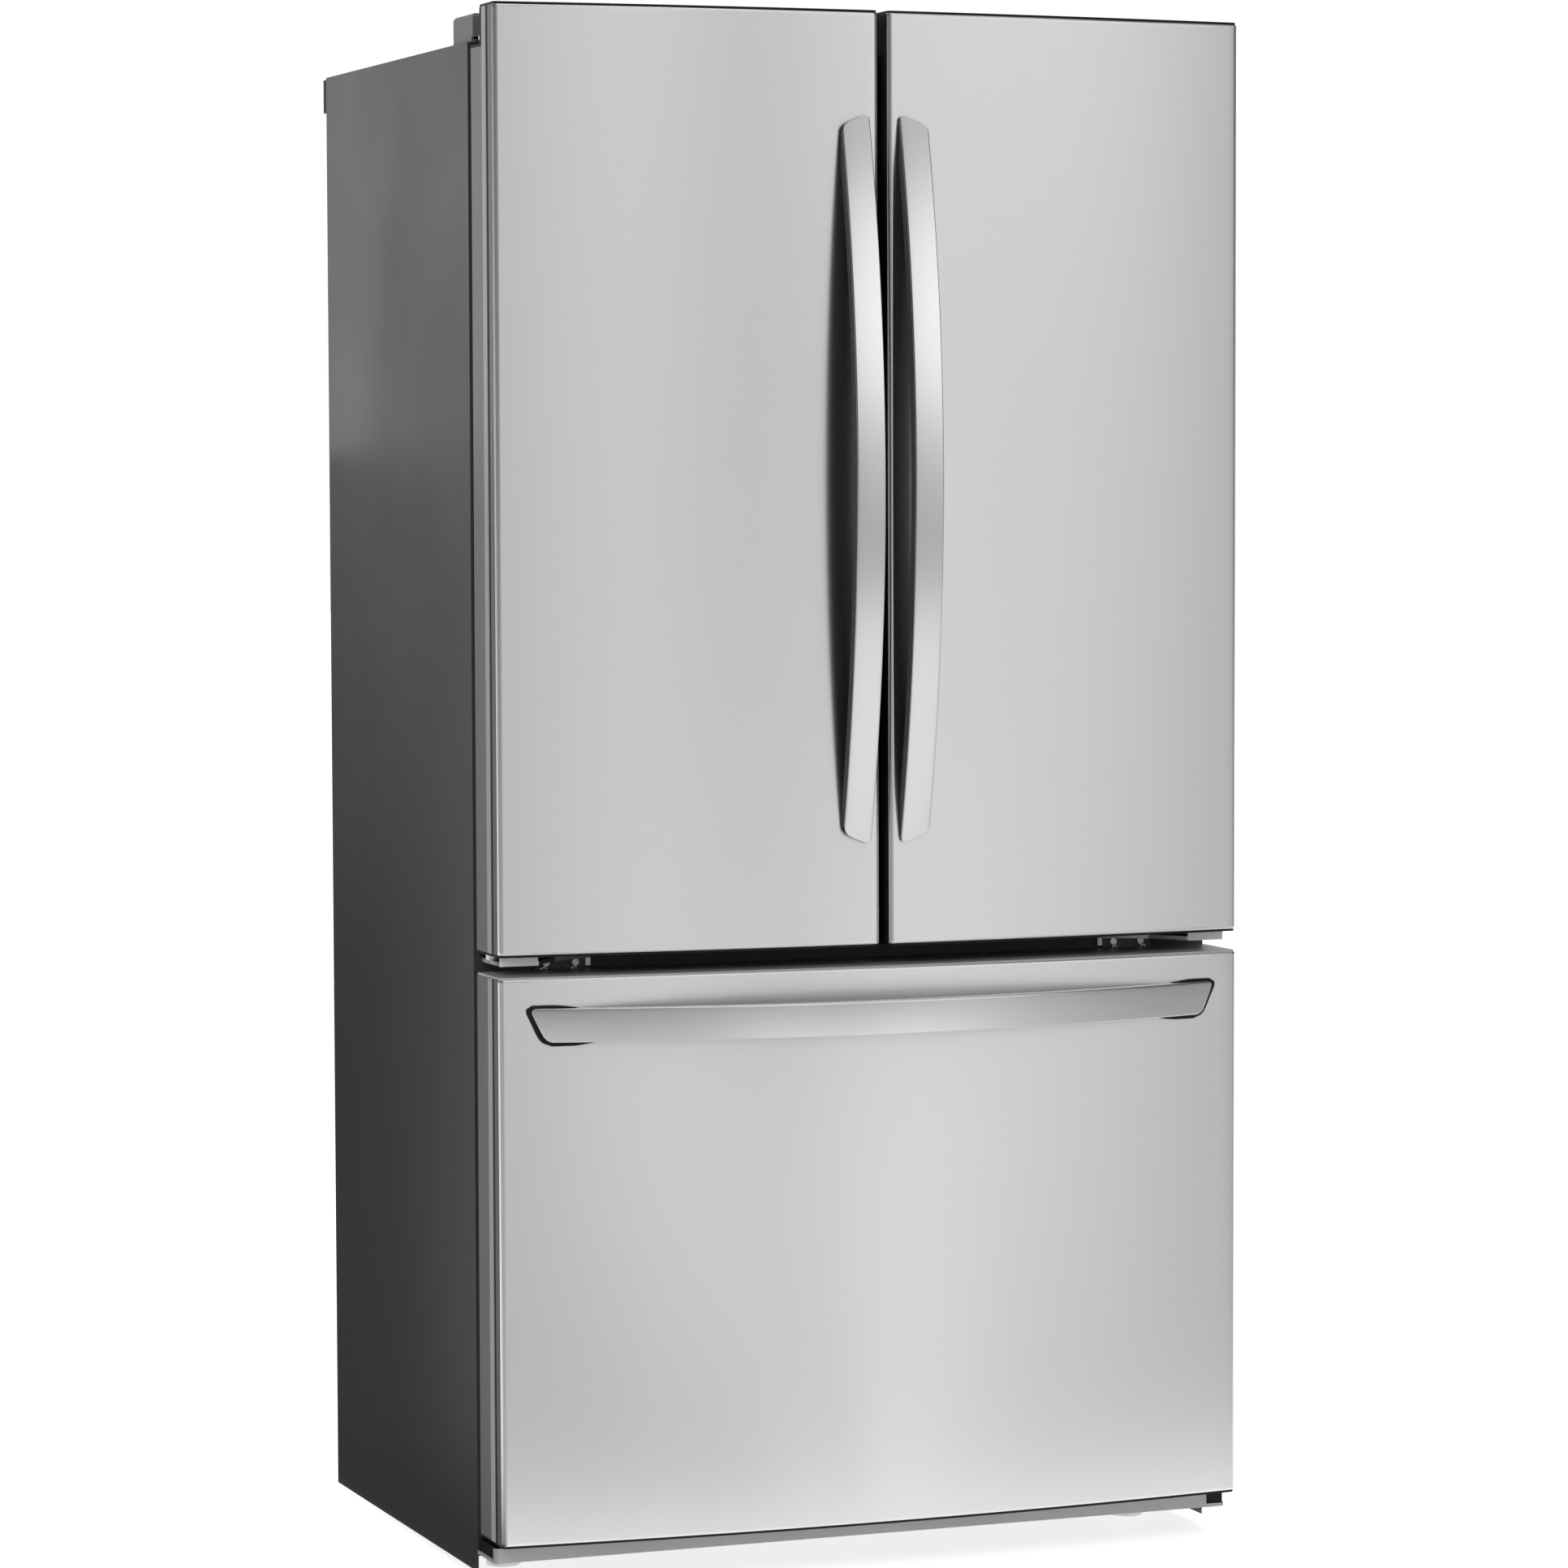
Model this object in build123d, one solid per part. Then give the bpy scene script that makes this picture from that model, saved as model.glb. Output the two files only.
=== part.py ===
from build123d import *
import math
import os

# French door refrigerator with a freezer drawer below, in millimetres.
# The origin is on the floor under the middle of the whole object. +Z is up, the doors face -Y,
# and +X is to the right of someone standing in front.

# Overall sizes
overall_width = 908.0
case_height = 1741.0
case_depth = 575.0
divider_bottom = 680.0       # top of the freezer's opening
door_depth = 83.0            # from a door's front corner to its inner face
door_bulge = 24.4            # rise of the curved front at the middle of its width
door_rise = 38.0             # the doors stand this far above the case
door_gap = 10.0              # between the two upper doors
drawer_gap = 22.0            # between the doors and the drawer front
drawer_overlap = 18.0        # the drawer front reaches this far above the freezer's opening
drawer_bottom = 55.0
gasket_gap = 9.5             # from a door's inner face to the case
spacer_depth = 12.0          # rear spacers that keep the case off the wall

# Walls and sheets
sheet = 1.2
skin = 1.2
liner_wall = 2.0
side_wall = 45.0
top_wall = 50.0
back_wall = 55.0
divider_height = 58.0
freezer_floor = 130.0
case_bottom = 12.0
base_height = 60.0
machine_depth = 225.0
machine_height = 300.0
flange_depth = 2.0

# Fits
fit = 0.5                    # between pieces of different bodies that pass each other
touch = 0.3                  # between faces of different bodies that nearly meet
pin_fit = 0.05               # radial clearance round a hinge pin, axle or stud

# Doors
skin_return = 26.0
front_corner = 6.5
cap_thickness = 3.0
rail_thickness = 3.0
inner_panel = 3.0
pocket_depth = 33.0          # the door top is cut away this far behind, for the hinge arm
pocket_below_case = 5.0
dyke_height = 50.0
dyke_width = 24.0
dyke_edge = 8.0              # from the fridge liner to the ridge round the door's inner panel
dyke_from_centre = 45.0
gasket_width = 14.0
gasket_edge = 15.0
gasket_from_end = 4.0

# Hinges
pin_from_side = 14.0
pin_from_back = 21.0         # pin axis ahead of the door's inner face
pin_radius = 5.0
pin_length = 18.0
hinge_plate = 4.5
arm_radius = 10.0
arm_spread = 52.0            # how far inwards the hinge arm widens
base_depth = 50.0            # of the hinge's base on the case top
base_from_front = 6.0
centre_plate_level = 11.0    # above the drawer front
centre_plate_reach = 124.0   # inwards from the pin
cover_width = 108.0
cover_clearance = 2.0        # from the doors' inner faces to the hinge covers
cover_depth = 72.0
cover_height = 32.0
cover_wall = 2.5
screw_radius = 5.5
screw_height = 3.5

# Handles
handle_reach = 52.0          # from the door's front to the handle's front, at the middle
handle_width = 34.0
handle_from_centre = 18.3
handle_thickness = 16.0
handle_end_rise = 4.0
handle_above_bottom = 116.0  # from the door's bottom to the handle's lower end
handle_below_top = 116.0
handle_slant = 13.5
drawer_handle_drop = 35.0    # from the drawer front's top to the handle
drawer_handle_height = 38.0
drawer_handle_inset = 33.0   # from each end of the drawer front
drawer_handle_slant = 18.0

# Inside the fridge
shelf_front = 105.0          # behind the case front
shelf_count = 2              # above the cover of the crispers
shelf_gap = 6.0
shelf_side_gap = 8.0
glass_thickness = 4.0
trim_height = 16.0
trim_depth = 12.0
trim_below_glass = 6.0
bracket_depth = 14.0
bracket_thickness = 3.0
crisper_height = 225.0
crisper_wall = 2.5
crisper_side_gap = 14.0
crisper_middle_gap = 4.0
crisper_under_gap = 4.0
crisper_ahead = 12.0         # of the shelves
crisper_grip = 10.0          # how far the lip stands out
crisper_over_gap = 10.0      # from a crisper's rim to the cover over it
duct_width = 240.0
duct_depth = 24.0
duct_above_cover = 30.0
outlet_width = 56.0
outlet_height = 10.0
outlet_depth = 6.0
lamp_width = 180.0
lamp_depth = 60.0
lamp_drop = 14.0
lamp_back = 150.0            # behind the case front

# Door bins
bin_depth = 82.0
bin_height = 95.0
bin_wall = 2.5
bin_count = 3
bin_above_floor = 62.0       # lowest bin above the fridge floor
dairy_height = 100.0
dairy_below_ceiling = 61.0
lid_barrel = 4.0
lid_pin = 2.5
lid_thickness = 3.0
lid_lip = 8.0
lid_forward = 5.0            # lid's axis past the bin's rim
lid_drop = 6.0               # lid's axis below the bin's top
lid_side_gap = 12.0
ear_width = 9.0
ear_pin_length = 15.0

# Flap between the doors
flap_width = 50.0
flap_thickness = 16.0
flap_pivot_x = -32.0
flap_pivot_gap = 7.0
flap_end_gap = 8.0
flap_pin = 2.5
knuckle_radius = 5.0
knuckle_half = 12.0          # half the height of a knuckle
knuckle_from_end = 60.0
flap_ear = 6.0

# Freezer drawer
basket_wall = 3.0
basket_floor = 145.0
basket_top = 395.0
basket_from_door = 20.0
basket_from_step = 22.5
basket_slot = 44.0
basket_slot_height = 10.0
basket_slot_pitch = 74.0
hook_width = 30.0
hook_thickness = 6.0
hook_from_end = 60.0
tray_height = 60.0
tray_depth = 150.0
tray_side_gap = 8.0
rail_height = 34.0
rail_width = 8.0
rail_from_front = 14.0       # behind the case front
rail_from_back = 76.0        # ahead of the freezer's rear wall
rail_level = 410.0
rail_foot_width = 22.0

# Feet, rollers and kick plate
leg_inset = 59.0             # from the side of the case
leg_back = 90.0              # behind the case front
foot_radius = 20.0
foot_height = 12.0
nut_radius = 9.0
nut_height = 8.0
stud_radius = 5.0
leg_bracket_half = 28.0
leg_bracket_depth = 26.0
roller_radius = 24.0
roller_width = 22.0
roller_back = 70.0           # ahead of the case back
axle_radius = 4.0
bracket_wall = 3.0
hub_radius = 10.0
hub_stand_out = 2.0
fork_half = 14.0
kick_from_case = 63.0        # toe plate's front ahead of the case
kick_bottom = 33.0
kick_top = 50.0
kick_wall = 2.0
kick_corner = 5.0
kick_lip = 4.0               # height of the strip left below the notches
kick_notch_width = 24.0
kick_end_inset = 2.5
kick_end_width = 36.0
cross_member_low = 30.0

# Machine compartment
compressor_x = -250.0
compressor_radius = 78.0
compressor_height = 150.0
compressor_stand = 14.0      # height of the rubber feet under it
fan_x = -60.0
fan_height = 95.0            # of its axis above the base
fan_radius = 62.0
fan_hub = 16.0
fan_blades = 5
fan_shaft = 3.0
shroud_half = 16.0
shroud_width = 156.0
shroud_height = 180.0
motor_radius = 20.0
condenser_low_x = 20.0
condenser_length = 280.0
condenser_width = 140.0
condenser_height = 140.0
condenser_above_floor = 30.0
fin_pitch = 20.0
fin_gap = 14.0
fin_depth = 15.0
drip_tray_margin = 10.0
drip_tray_height = 24.0
drip_tray_wall = 2.0
slot_width = 60.0
slot_height = 6.0
slot_pitch = 92.0
slot_rise = 22.0
slot_rows = 7
slot_margin = 40.0           # from the slots to the sides of the case
slots_above_floor = 60.0
gland_radius = 11.0
gland_bore = 4.0
gland_length = 6.0
gland_from_side = 94.0
gland_above_base = 30.0
spacer_width = 30.0
spacer_height = 40.0

# Evaporator, behind the freezer's rear wall cover
evaporator_space = 64.0      # from the cover to the liner
evaporator_above_step = 12.0
evaporator_half = 300.0
evaporator_height = 120.0
evaporator_front_gap = 12.0
evaporator_back_gap = 8.0
evaporator_fin_depth = 8.0
cover_thickness = 3.0
vent_low_x = 60.0
vent_width = 160.0
vent_height = 7.0
vent_pitch = 16.0
vent_rows = 4
evaporator_fan_drop = 110.0  # of its axis below the divider
evaporator_fan_back = 30.0   # behind the cover
evaporator_motor_radius = 18.0
evaporator_shaft = 2.5
evaporator_hub = 14.0
evaporator_fan_reach = 51.0

overall_depth = handle_reach + door_bulge + door_depth + gasket_gap + case_depth + spacer_depth
half_width = overall_width / 2
door_top = case_height + door_rise
drawer_top = divider_bottom + drawer_overlap
door_bottom = drawer_top + drawer_gap
door_front = -overall_depth / 2 + handle_reach + door_bulge
door_back = door_front + door_depth
case_front = door_back + gasket_gap
case_back = case_front + case_depth
front_radius = (half_width ** 2 + door_bulge ** 2) / (2 * door_bulge)
front_centre = door_front - door_bulge + front_radius

fridge_half = half_width - side_wall
fridge_floor = divider_bottom + divider_height
fridge_ceiling = case_height - top_wall
liner_back = case_back - back_wall
machine_front = case_back - machine_depth
case_inside = case_front + flange_depth
case_edge = half_width - sheet
machine_middle = case_back - machine_depth / 2
machine_floor = base_height + sheet
step_front = machine_front - back_wall
step_top = machine_height + back_wall
leg_x = half_width - leg_inset
pin_x = half_width - pin_from_side
pin_y = door_back - pin_from_back
handle_low = door_bottom + handle_above_bottom
handle_high = door_top - handle_below_top
drawer_handle_top = drawer_top - drawer_handle_drop
drawer_handle_half = half_width - drawer_handle_inset

parts = {}
os.makedirs("parts", exist_ok=True)


def block(x_low, x_high, y_low, y_high, z_low, z_high):
    """A box between two values on each axis."""
    centre = Pos((x_low + x_high) / 2, (y_low + y_high) / 2, (z_low + z_high) / 2)
    return centre * Box(x_high - x_low, y_high - y_low, z_high - z_low)


def ring(outer, inner):
    """A box with a box taken out of it."""
    return block(*outer) - block(*inner)


def rod(radius, x, y, z_low, z_high):
    """An upright cylinder."""
    return Pos(x, y, (z_low + z_high) / 2) * Cylinder(radius, z_high - z_low)


def cross_rod(radius, y, z, x_low, x_high):
    """A cylinder along X."""
    return Pos((x_low + x_high) / 2, y, z) * Rot(0, 90, 0) * Cylinder(radius, x_high - x_low)


def mirrored(shape):
    """The same piece on the other side of the object."""
    return mirror(shape, about=Plane.YZ)


def group(pieces):
    """Separate solids that share one node."""
    return Compound(children=list(pieces))


def upright_plate(points, z_low, z_high):
    """A flat plate cut to an outline seen from above."""
    outline = make_face(Polyline(*points, close=True))
    return extrude(Pos(0, 0, z_low) * outline, z_high - z_low, dir=(0, 0, 1))


def open_box(outer, wall):
    """A bin or basket: a box without a lid."""
    x_low, x_high, y_low, y_high, z_low, z_high = outer
    inner = (x_low + wall, x_high - wall, y_low + wall, y_high - wall, z_low + wall, z_high + wall)
    return ring(outer, inner)


def front_y(x, inset=0.0):
    """Y of the shared curved front at x, or of a surface that far inside it."""
    return front_centre - math.sqrt((front_radius - inset) ** 2 - x ** 2)


def front_outline(x_low, x_high, y_back, inset, corner):
    """Plan outline of a door or drawer front, with its curved face towards -Y."""
    middle = (x_low + x_high) / 2
    left_front = (x_low, front_y(x_low, inset))
    right_front = (x_high, front_y(x_high, inset))
    curve = ThreePointArc(left_front, (middle, front_y(middle, inset)), right_front)
    back = Polyline(right_front, (x_high, y_back), (x_low, y_back), left_front)
    face = make_face(Curve() + [curve, back])
    if corner > 0:
        face = fillet(face.vertices().sort_by(Axis.Y)[:2], corner)
    return face


def front_slab(x_low, x_high, y_back, z_low, z_high, inset=0.0, corner=0.0):
    """A slab with the curved front, between two heights."""
    outline = front_outline(x_low, x_high, y_back, inset, corner)
    return extrude(Pos(0, 0, z_low) * outline, z_high - z_low, dir=(0, 0, 1))


# ---------------------------------------------------------------- cabinet

def side_panel():
    """Left painted steel side of the case."""
    return block(-half_width, -half_width + sheet, case_front, case_back, case_bottom, case_height)


def top_panel():
    return block(-case_edge, case_edge, case_inside, case_back, case_height - sheet, case_height)


def back_panel():
    return block(-case_edge, case_edge, case_back - sheet, case_back, machine_height, case_height - sheet)


def base_pan():
    pan = block(-case_edge, case_edge, case_inside, case_back, base_height, machine_floor)
    for x in (-leg_x, leg_x):
        pan -= rod(stud_radius + 2 * fit, x, case_front + leg_back, base_height - 1, machine_floor + 1)
    return pan


def front_flange():
    """Painted steel rails round the two openings, that the magnetic gaskets close on."""
    stile = block(-case_edge, -fridge_half, case_front, case_inside, base_height, case_height)
    levels = [(base_height, freezer_floor), (divider_bottom, fridge_floor), (fridge_ceiling, case_height)]
    rails = [block(-fridge_half, fridge_half, case_front, case_inside, low, high) for low, high in levels]
    return [stile, mirrored(stile)] + rails


def cabinet_foam():
    """The insulation, as one block for each wall so that each stays a plain shape."""
    edge = case_edge
    cavity = fridge_half + liner_wall
    rear = case_back - sheet
    top = case_height - sheet
    floor_low = machine_floor
    walls = [block(-edge, -cavity, case_inside, rear, machine_height, top),
             block(cavity, edge, case_inside, rear, machine_height, top),
             block(-edge, -cavity, case_inside, machine_front, floor_low, machine_height),
             block(cavity, edge, case_inside, machine_front, floor_low, machine_height)]
    ceiling = block(-cavity, cavity, case_inside, rear, fridge_ceiling + liner_wall, top)
    divider = block(-cavity, cavity, case_inside, liner_back + liner_wall,
                    divider_bottom + liner_wall, fridge_floor - liner_wall)
    back = block(-cavity, cavity, liner_back + liner_wall, rear,
                 machine_height, fridge_ceiling + liner_wall)
    floor = block(-cavity, cavity, case_inside, step_front + liner_wall,
                  floor_low, freezer_floor - liner_wall)
    step = block(-cavity, cavity, step_front + liner_wall, machine_front, floor_low, machine_height)
    shelf = block(-cavity, cavity, step_front + liner_wall, liner_back + liner_wall,
                  machine_height, step_top - liner_wall)
    return group(walls + [ceiling, divider, back, floor, step, shelf])


def fridge_liner():
    outer = (-fridge_half - liner_wall, fridge_half + liner_wall, case_inside, liner_back + liner_wall,
             fridge_floor - liner_wall, fridge_ceiling + liner_wall)
    inner = (-fridge_half, fridge_half, case_inside - 1, liner_back, fridge_floor, fridge_ceiling)
    return ring(outer, inner)


def freezer_liner():
    """Liner of the freezer, stepped over the machine compartment at its rear."""
    wall = liner_wall
    outer = block(-fridge_half - wall, fridge_half + wall, case_inside, liner_back + wall,
                  freezer_floor - wall, divider_bottom + wall)
    outer -= block(-half_width, half_width, step_front + wall, case_back, 0, step_top - wall)
    inner = block(-fridge_half, fridge_half, case_inside - 1, liner_back, freezer_floor, divider_bottom)
    inner -= block(-half_width, half_width, step_front, case_back, 0, step_top)
    return outer - inner


def rear_spacers():
    """Two black blocks on the back that keep the case off the wall."""
    top = case_height - 2 * sheet
    left = block(-half_width, -half_width + spacer_width, case_back, case_back + spacer_depth,
                 top - spacer_height, top)
    return group([left, mirrored(left)])


def rear_cover():
    """Steel cover of the machine compartment, with rows of cooling slots."""
    cover = block(-case_edge, case_edge, case_back - sheet, case_back, machine_floor, machine_height)
    columns = int((case_edge - slot_margin - slot_width / 2) / slot_pitch)
    for column in range(-columns, columns + 1):
        for row in range(slot_rows):
            x = column * slot_pitch
            z = machine_floor + slots_above_floor + row * slot_rise
            cover -= block(x - slot_width / 2, x + slot_width / 2, case_back - sheet - 1, case_back + 1,
                           z, z + slot_height)
    return cover


def cord_gland():
    """Round grommet in the rear cover where the mains lead enters."""
    place = Pos(half_width - gland_from_side, case_back + gland_length / 2,
                base_height + gland_above_base) * Rot(90, 0, 0)
    return place * Cylinder(gland_radius, gland_length) - place * Cylinder(gland_bore, gland_length + 2)


# ---------------------------------------------------------------- hinges

hinge_base_y = case_inside + base_from_front
cover_outer_x = half_width - 4.0


def top_hinge():
    """Steel hinge screwed to the case top, with an arm forward to the left door's pin."""
    low = case_height
    high = low + hinge_plate
    base_x = -cover_outer_x + 2 * cover_wall
    base = block(base_x, base_x + cover_width - 4 * cover_wall, hinge_base_y, hinge_base_y + base_depth,
                 low, high)
    arm_side = -pin_x - arm_radius / 5
    arm_rear = hinge_base_y + arm_radius
    arm = upright_plate([(arm_side, pin_y + 4), (-pin_x + arm_radius, pin_y - 3),
                         (-pin_x + arm_spread, arm_rear), (arm_side, arm_rear)], low, high)
    eye = rod(arm_radius, -pin_x, pin_y, low, high)
    pin = rod(pin_radius, -pin_x, pin_y, low - pin_length, high)
    return base + arm + eye + pin


def hinge_cover():
    """Grey plastic cover over the top hinge, open below and in front for the arm."""
    x_low = -cover_outer_x
    x_high = x_low + cover_width
    y_low = door_back + cover_clearance
    y_high = y_low + cover_depth
    shell = block(x_low, x_high, y_low, y_high, case_height, case_height + cover_height)
    shell = fillet(shell.edges().group_by(Axis.Z)[-1], 2 * cover_wall)
    hollow = block(x_low + cover_wall, x_high - cover_wall, y_low + cover_wall, y_high - cover_wall,
                   case_height - 1, case_height + cover_height - cover_wall)
    arm_way = block(x_low - 1, -pin_x + arm_spread + 12 * fit, y_low - 1, y_low + 2 * cover_wall,
                    case_height - 1, case_height + hinge_plate + 2 * fit)
    return shell - hollow - arm_way


def centre_hinge():
    """Steel bracket on the case front, between door and drawer, with the left door's lower pin."""
    low = drawer_top + centre_plate_level
    high = low + hinge_plate
    front = door_front + 22.0
    outer_x = -pin_x - 6.0
    inner_x = -pin_x + centre_plate_reach
    plate = upright_plate([(outer_x, front), (-pin_x + 40, front), (inner_x - arm_spread, case_front - 32),
                           (inner_x, case_front - 4), (inner_x, case_front), (outer_x, case_front)],
                          low, high)
    flange = block(inner_x - 62, inner_x, case_front - cap_thickness, case_front, drawer_top + 2, low)
    pin = rod(pin_radius, -pin_x, pin_y, low, door_bottom + pin_length)
    collar = rod(pin_radius + 4, -pin_x, pin_y, high, door_bottom - touch)
    return plate + flange + pin + collar


def hinge_screws():
    """Hexagon heads that hold the four hinges to the case."""
    screws = []
    flange_head = extrude(RegularPolygon(screw_radius - 1, 6), screw_height)
    top_head = extrude(RegularPolygon(screw_radius, 6), screw_height + 2)
    for side in (-1, 1):
        for inwards in (70.0, 105.0):
            place = Pos(side * (pin_x - inwards), case_front - cap_thickness, drawer_top + 6.5)
            screws.append(place * Rot(90, 0, 0) * flange_head)
        for inwards in (24.0, 74.0):
            place = Pos(side * (pin_x - inwards), hinge_base_y + 32, case_height + hinge_plate)
            screws.append(place * top_head)
    return screws


# ---------------------------------------------------------------- doors

pocket_floor = case_height - pocket_below_case
pocket_front = door_back - pocket_depth


def door_skin():
    """Curved stainless steel front of the left door, folded back along both sides."""
    x_low = -half_width
    x_high = -door_gap / 2
    outer = front_slab(x_low, x_high, door_front + skin_return, door_bottom + 1, door_top - 1,
                       0, front_corner)
    inner = front_slab(x_low + skin, x_high - skin, door_front + skin_return + 5,
                       door_bottom, door_top, skin, front_corner - skin)
    return outer - inner


def pocket():
    """Space cut from the top rear of a door, behind its raised front."""
    return block(-half_width - 1, 1, pocket_front, door_back + 1, pocket_floor, door_top + 1)


def pin_hole(z_low, z_high):
    return rod(pin_radius + pin_fit, -pin_x, pin_y, z_low, z_high)


def door_foam():
    """Insulation that fills the left door, below and in front of the hinge pocket."""
    x_low = -half_width + rail_thickness
    x_high = -door_gap / 2 - rail_thickness
    low = door_bottom + cap_thickness
    back = door_back - inner_panel
    upper_low = pocket_floor - cap_thickness
    core = front_slab(x_low, x_high, back, low, upper_low, skin, 4)
    raised = front_slab(x_low, x_high, pocket_front - cap_thickness, upper_low,
                        door_top - cap_thickness, skin, 4)
    core -= pin_hole(low - 1, low + pin_length + 2)
    core -= pin_hole(upper_low - pin_length, upper_low + 1)
    return group([core, raised])


def door_frame():
    """Painted side strips and black end caps that close the left door behind its steel front."""
    rails = [door_top_cap(), door_bottom_cap()]
    for x in (-half_width, -door_gap / 2 - rail_thickness):
        rail = block(x, x + rail_thickness, door_front + skin_return, door_back,
                     door_bottom + cap_thickness, door_top - cap_thickness)
        rails.append(rail - block(-half_width - 1, 1, pocket_front - cap_thickness, door_back + 1,
                                  pocket_floor - cap_thickness, door_top + 1))
    return group(rails)


def door_top_cap():
    """Black plastic cap over the left door's top, stepped down round the hinge pocket."""
    x_low = -half_width
    x_high = -door_gap / 2
    wall = cap_thickness
    top = front_slab(x_low + 1.5, x_high - 1.5, pocket_front, door_top - wall, door_top, 1.5, 5)
    riser = block(x_low, x_high, pocket_front - wall, pocket_front, pocket_floor - wall, door_top - wall)
    floor = block(x_low, x_high, pocket_front, door_back, pocket_floor - wall, pocket_floor)
    return top + riser + floor - pin_hole(pocket_floor - wall - 1, pocket_floor + 1)


def door_bottom_cap():
    """Black plastic cap under the left door, with the bush for the lower pin."""
    cap = front_slab(-half_width + 1.5, -door_gap / 2 - 1.5, door_back - 1, door_bottom,
                     door_bottom + cap_thickness, 1.5, 5)
    return cap - pin_hole(door_bottom - 1, door_bottom + cap_thickness + 1)


def door_liner():
    """White inner panel of the left door, with the ridge that the bins hang in."""
    x_low = -half_width + rail_thickness
    x_high = -door_gap / 2 - rail_thickness
    panel = block(x_low, x_high, door_back - inner_panel, door_back,
                  door_bottom + cap_thickness, pocket_floor - cap_thickness)
    outer = (-fridge_half + dyke_edge, -dyke_from_centre, door_back, door_back + dyke_height,
             fridge_floor + dyke_edge, fridge_ceiling - dyke_edge)
    inner = (outer[0] + dyke_width, outer[1] - dyke_width, door_back - 1, door_back + dyke_height + 1,
             outer[4] + dyke_width, outer[5] - dyke_width)
    return panel + ring(outer, inner)


def gasket(x_low, x_high, z_low, z_high):
    """Magnetic seal on a door's inner face."""
    outer = (x_low, x_high, door_back, case_front - touch, z_low, z_high)
    inner = (x_low + gasket_width, x_high - gasket_width, door_back - 1, case_front + 1,
             z_low + gasket_width, z_high - gasket_width)
    return ring(outer, inner)


def door_gasket():
    return gasket(-half_width + gasket_edge, -door_gap / 2 - 5, door_bottom + gasket_from_end,
                  pocket_floor - cap_thickness - gasket_from_end)


def bin_span():
    """X limits of a bin between the ridges of the left door."""
    low = -fridge_half + dyke_edge + dyke_width + fit
    high = -dyke_from_centre - dyke_width - fit
    return low, high


bin_low = fridge_floor + bin_above_floor
dairy_level = fridge_ceiling - dairy_below_ceiling - dairy_height
bin_levels = [bin_low + (dairy_level - bin_low) * index / bin_count for index in range(bin_count)]


def door_bin(level):
    low, high = bin_span()
    body = open_box((low, high, door_back, door_back + bin_depth, level, level + bin_height), bin_wall)
    upright = body.edges().filter_by(Axis.Z).group_by(Axis.Y)[-1]
    return fillet(upright, bin_wall * 3)


def dairy_bin():
    """Covered compartment near the top of the left door."""
    low, high = bin_span()
    shell = block(low, high, door_back, door_back + bin_depth, dairy_level, dairy_level + dairy_height)
    inside = block(low + bin_wall, high - bin_wall, door_back + bin_wall, door_back + bin_depth + 1,
                   dairy_level + bin_wall, dairy_level + dairy_height - bin_wall)
    return shell - inside


lid_y = door_back + bin_depth + lid_forward
lid_z = dairy_level + dairy_height - lid_drop


def dairy_lid():
    """Clear lid that swings up, with a barrel along its upper edge."""
    low, high = bin_span()
    low += lid_side_gap
    high -= lid_side_gap
    front = lid_y - lid_thickness / 2
    barrel = cross_rod(lid_barrel, lid_y, lid_z, low, high)
    flap = block(low, high, front, front + lid_thickness, dairy_level + 1, lid_z)
    lip = block(low, high, front, lid_y + lid_lip, dairy_level + 1, dairy_level + 1 + lid_thickness)
    bore = cross_rod(lid_pin + pin_fit, lid_y, lid_z, low - 1, high + 1)
    return barrel + flap + lip - bore


def lid_pins():
    """Two ears on the dairy bin that carry the lid's pivots."""
    low, high = bin_span()
    half = lid_barrel + 2
    ears = []
    for x, inward in ((low, 1), (high, -1)):
        x_end = x + inward * ear_width
        pin_end = x_end + inward * ear_pin_length
        ear = block(min(x, x_end), max(x, x_end), door_back + bin_depth, lid_y + half - 1,
                    lid_z - half, lid_z + half)
        ears.append(ear + cross_rod(lid_pin, lid_y, lid_z, min(x_end, pin_end), max(x_end, pin_end)))
    return ears[0] + ears[1]


# ---------------------------------------------------------------- flap between the doors

flap_pivot_y = case_front + 1.0 + flap_thickness / 2
knuckle_low = fridge_floor + knuckle_from_end
knuckle_high = fridge_ceiling - knuckle_from_end
knuckle_levels = [knuckle_low, (knuckle_low + knuckle_high) / 2, knuckle_high]


def mullion_flap():
    """Flap on the left door that seals between the doors, stored folded inwards."""
    half = flap_thickness / 2
    root = flap_pivot_y + flap_pivot_gap
    bar = block(flap_pivot_x - half, flap_pivot_x + half, root, root + flap_width,
                fridge_floor + flap_end_gap, fridge_ceiling - flap_end_gap)
    bar = fillet(bar.edges().filter_by(Axis.Z), 2.5)
    for z in knuckle_levels:
        low = z - knuckle_half
        high = z + knuckle_half
        bar += block(flap_pivot_x - 3, flap_pivot_x + 3, flap_pivot_y, root + 1, low, high)
        bar += rod(knuckle_radius, flap_pivot_x, flap_pivot_y, low, high)
        bar -= rod(flap_pin + pin_fit, flap_pivot_x, flap_pivot_y, low - 1, high + 1)
    return bar


def flap_hinges():
    """Brackets on the left door that hold the flap's pins."""
    brackets = []
    reach = knuckle_half + flap_ear
    for z in knuckle_levels:
        bracket = rod(flap_pin, flap_pivot_x, flap_pivot_y, z - reach, z + reach)
        for low, high in ((z - reach, z - knuckle_half - fit), (z + knuckle_half + fit, z + reach)):
            bracket += block(-dyke_from_centre, flap_pivot_x, flap_pivot_y - 4, flap_pivot_y + 4, low, high)
            bracket += rod(knuckle_radius, flap_pivot_x, flap_pivot_y, low, high)
        brackets.append(bracket)
    return brackets


# ---------------------------------------------------------------- handles

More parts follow.
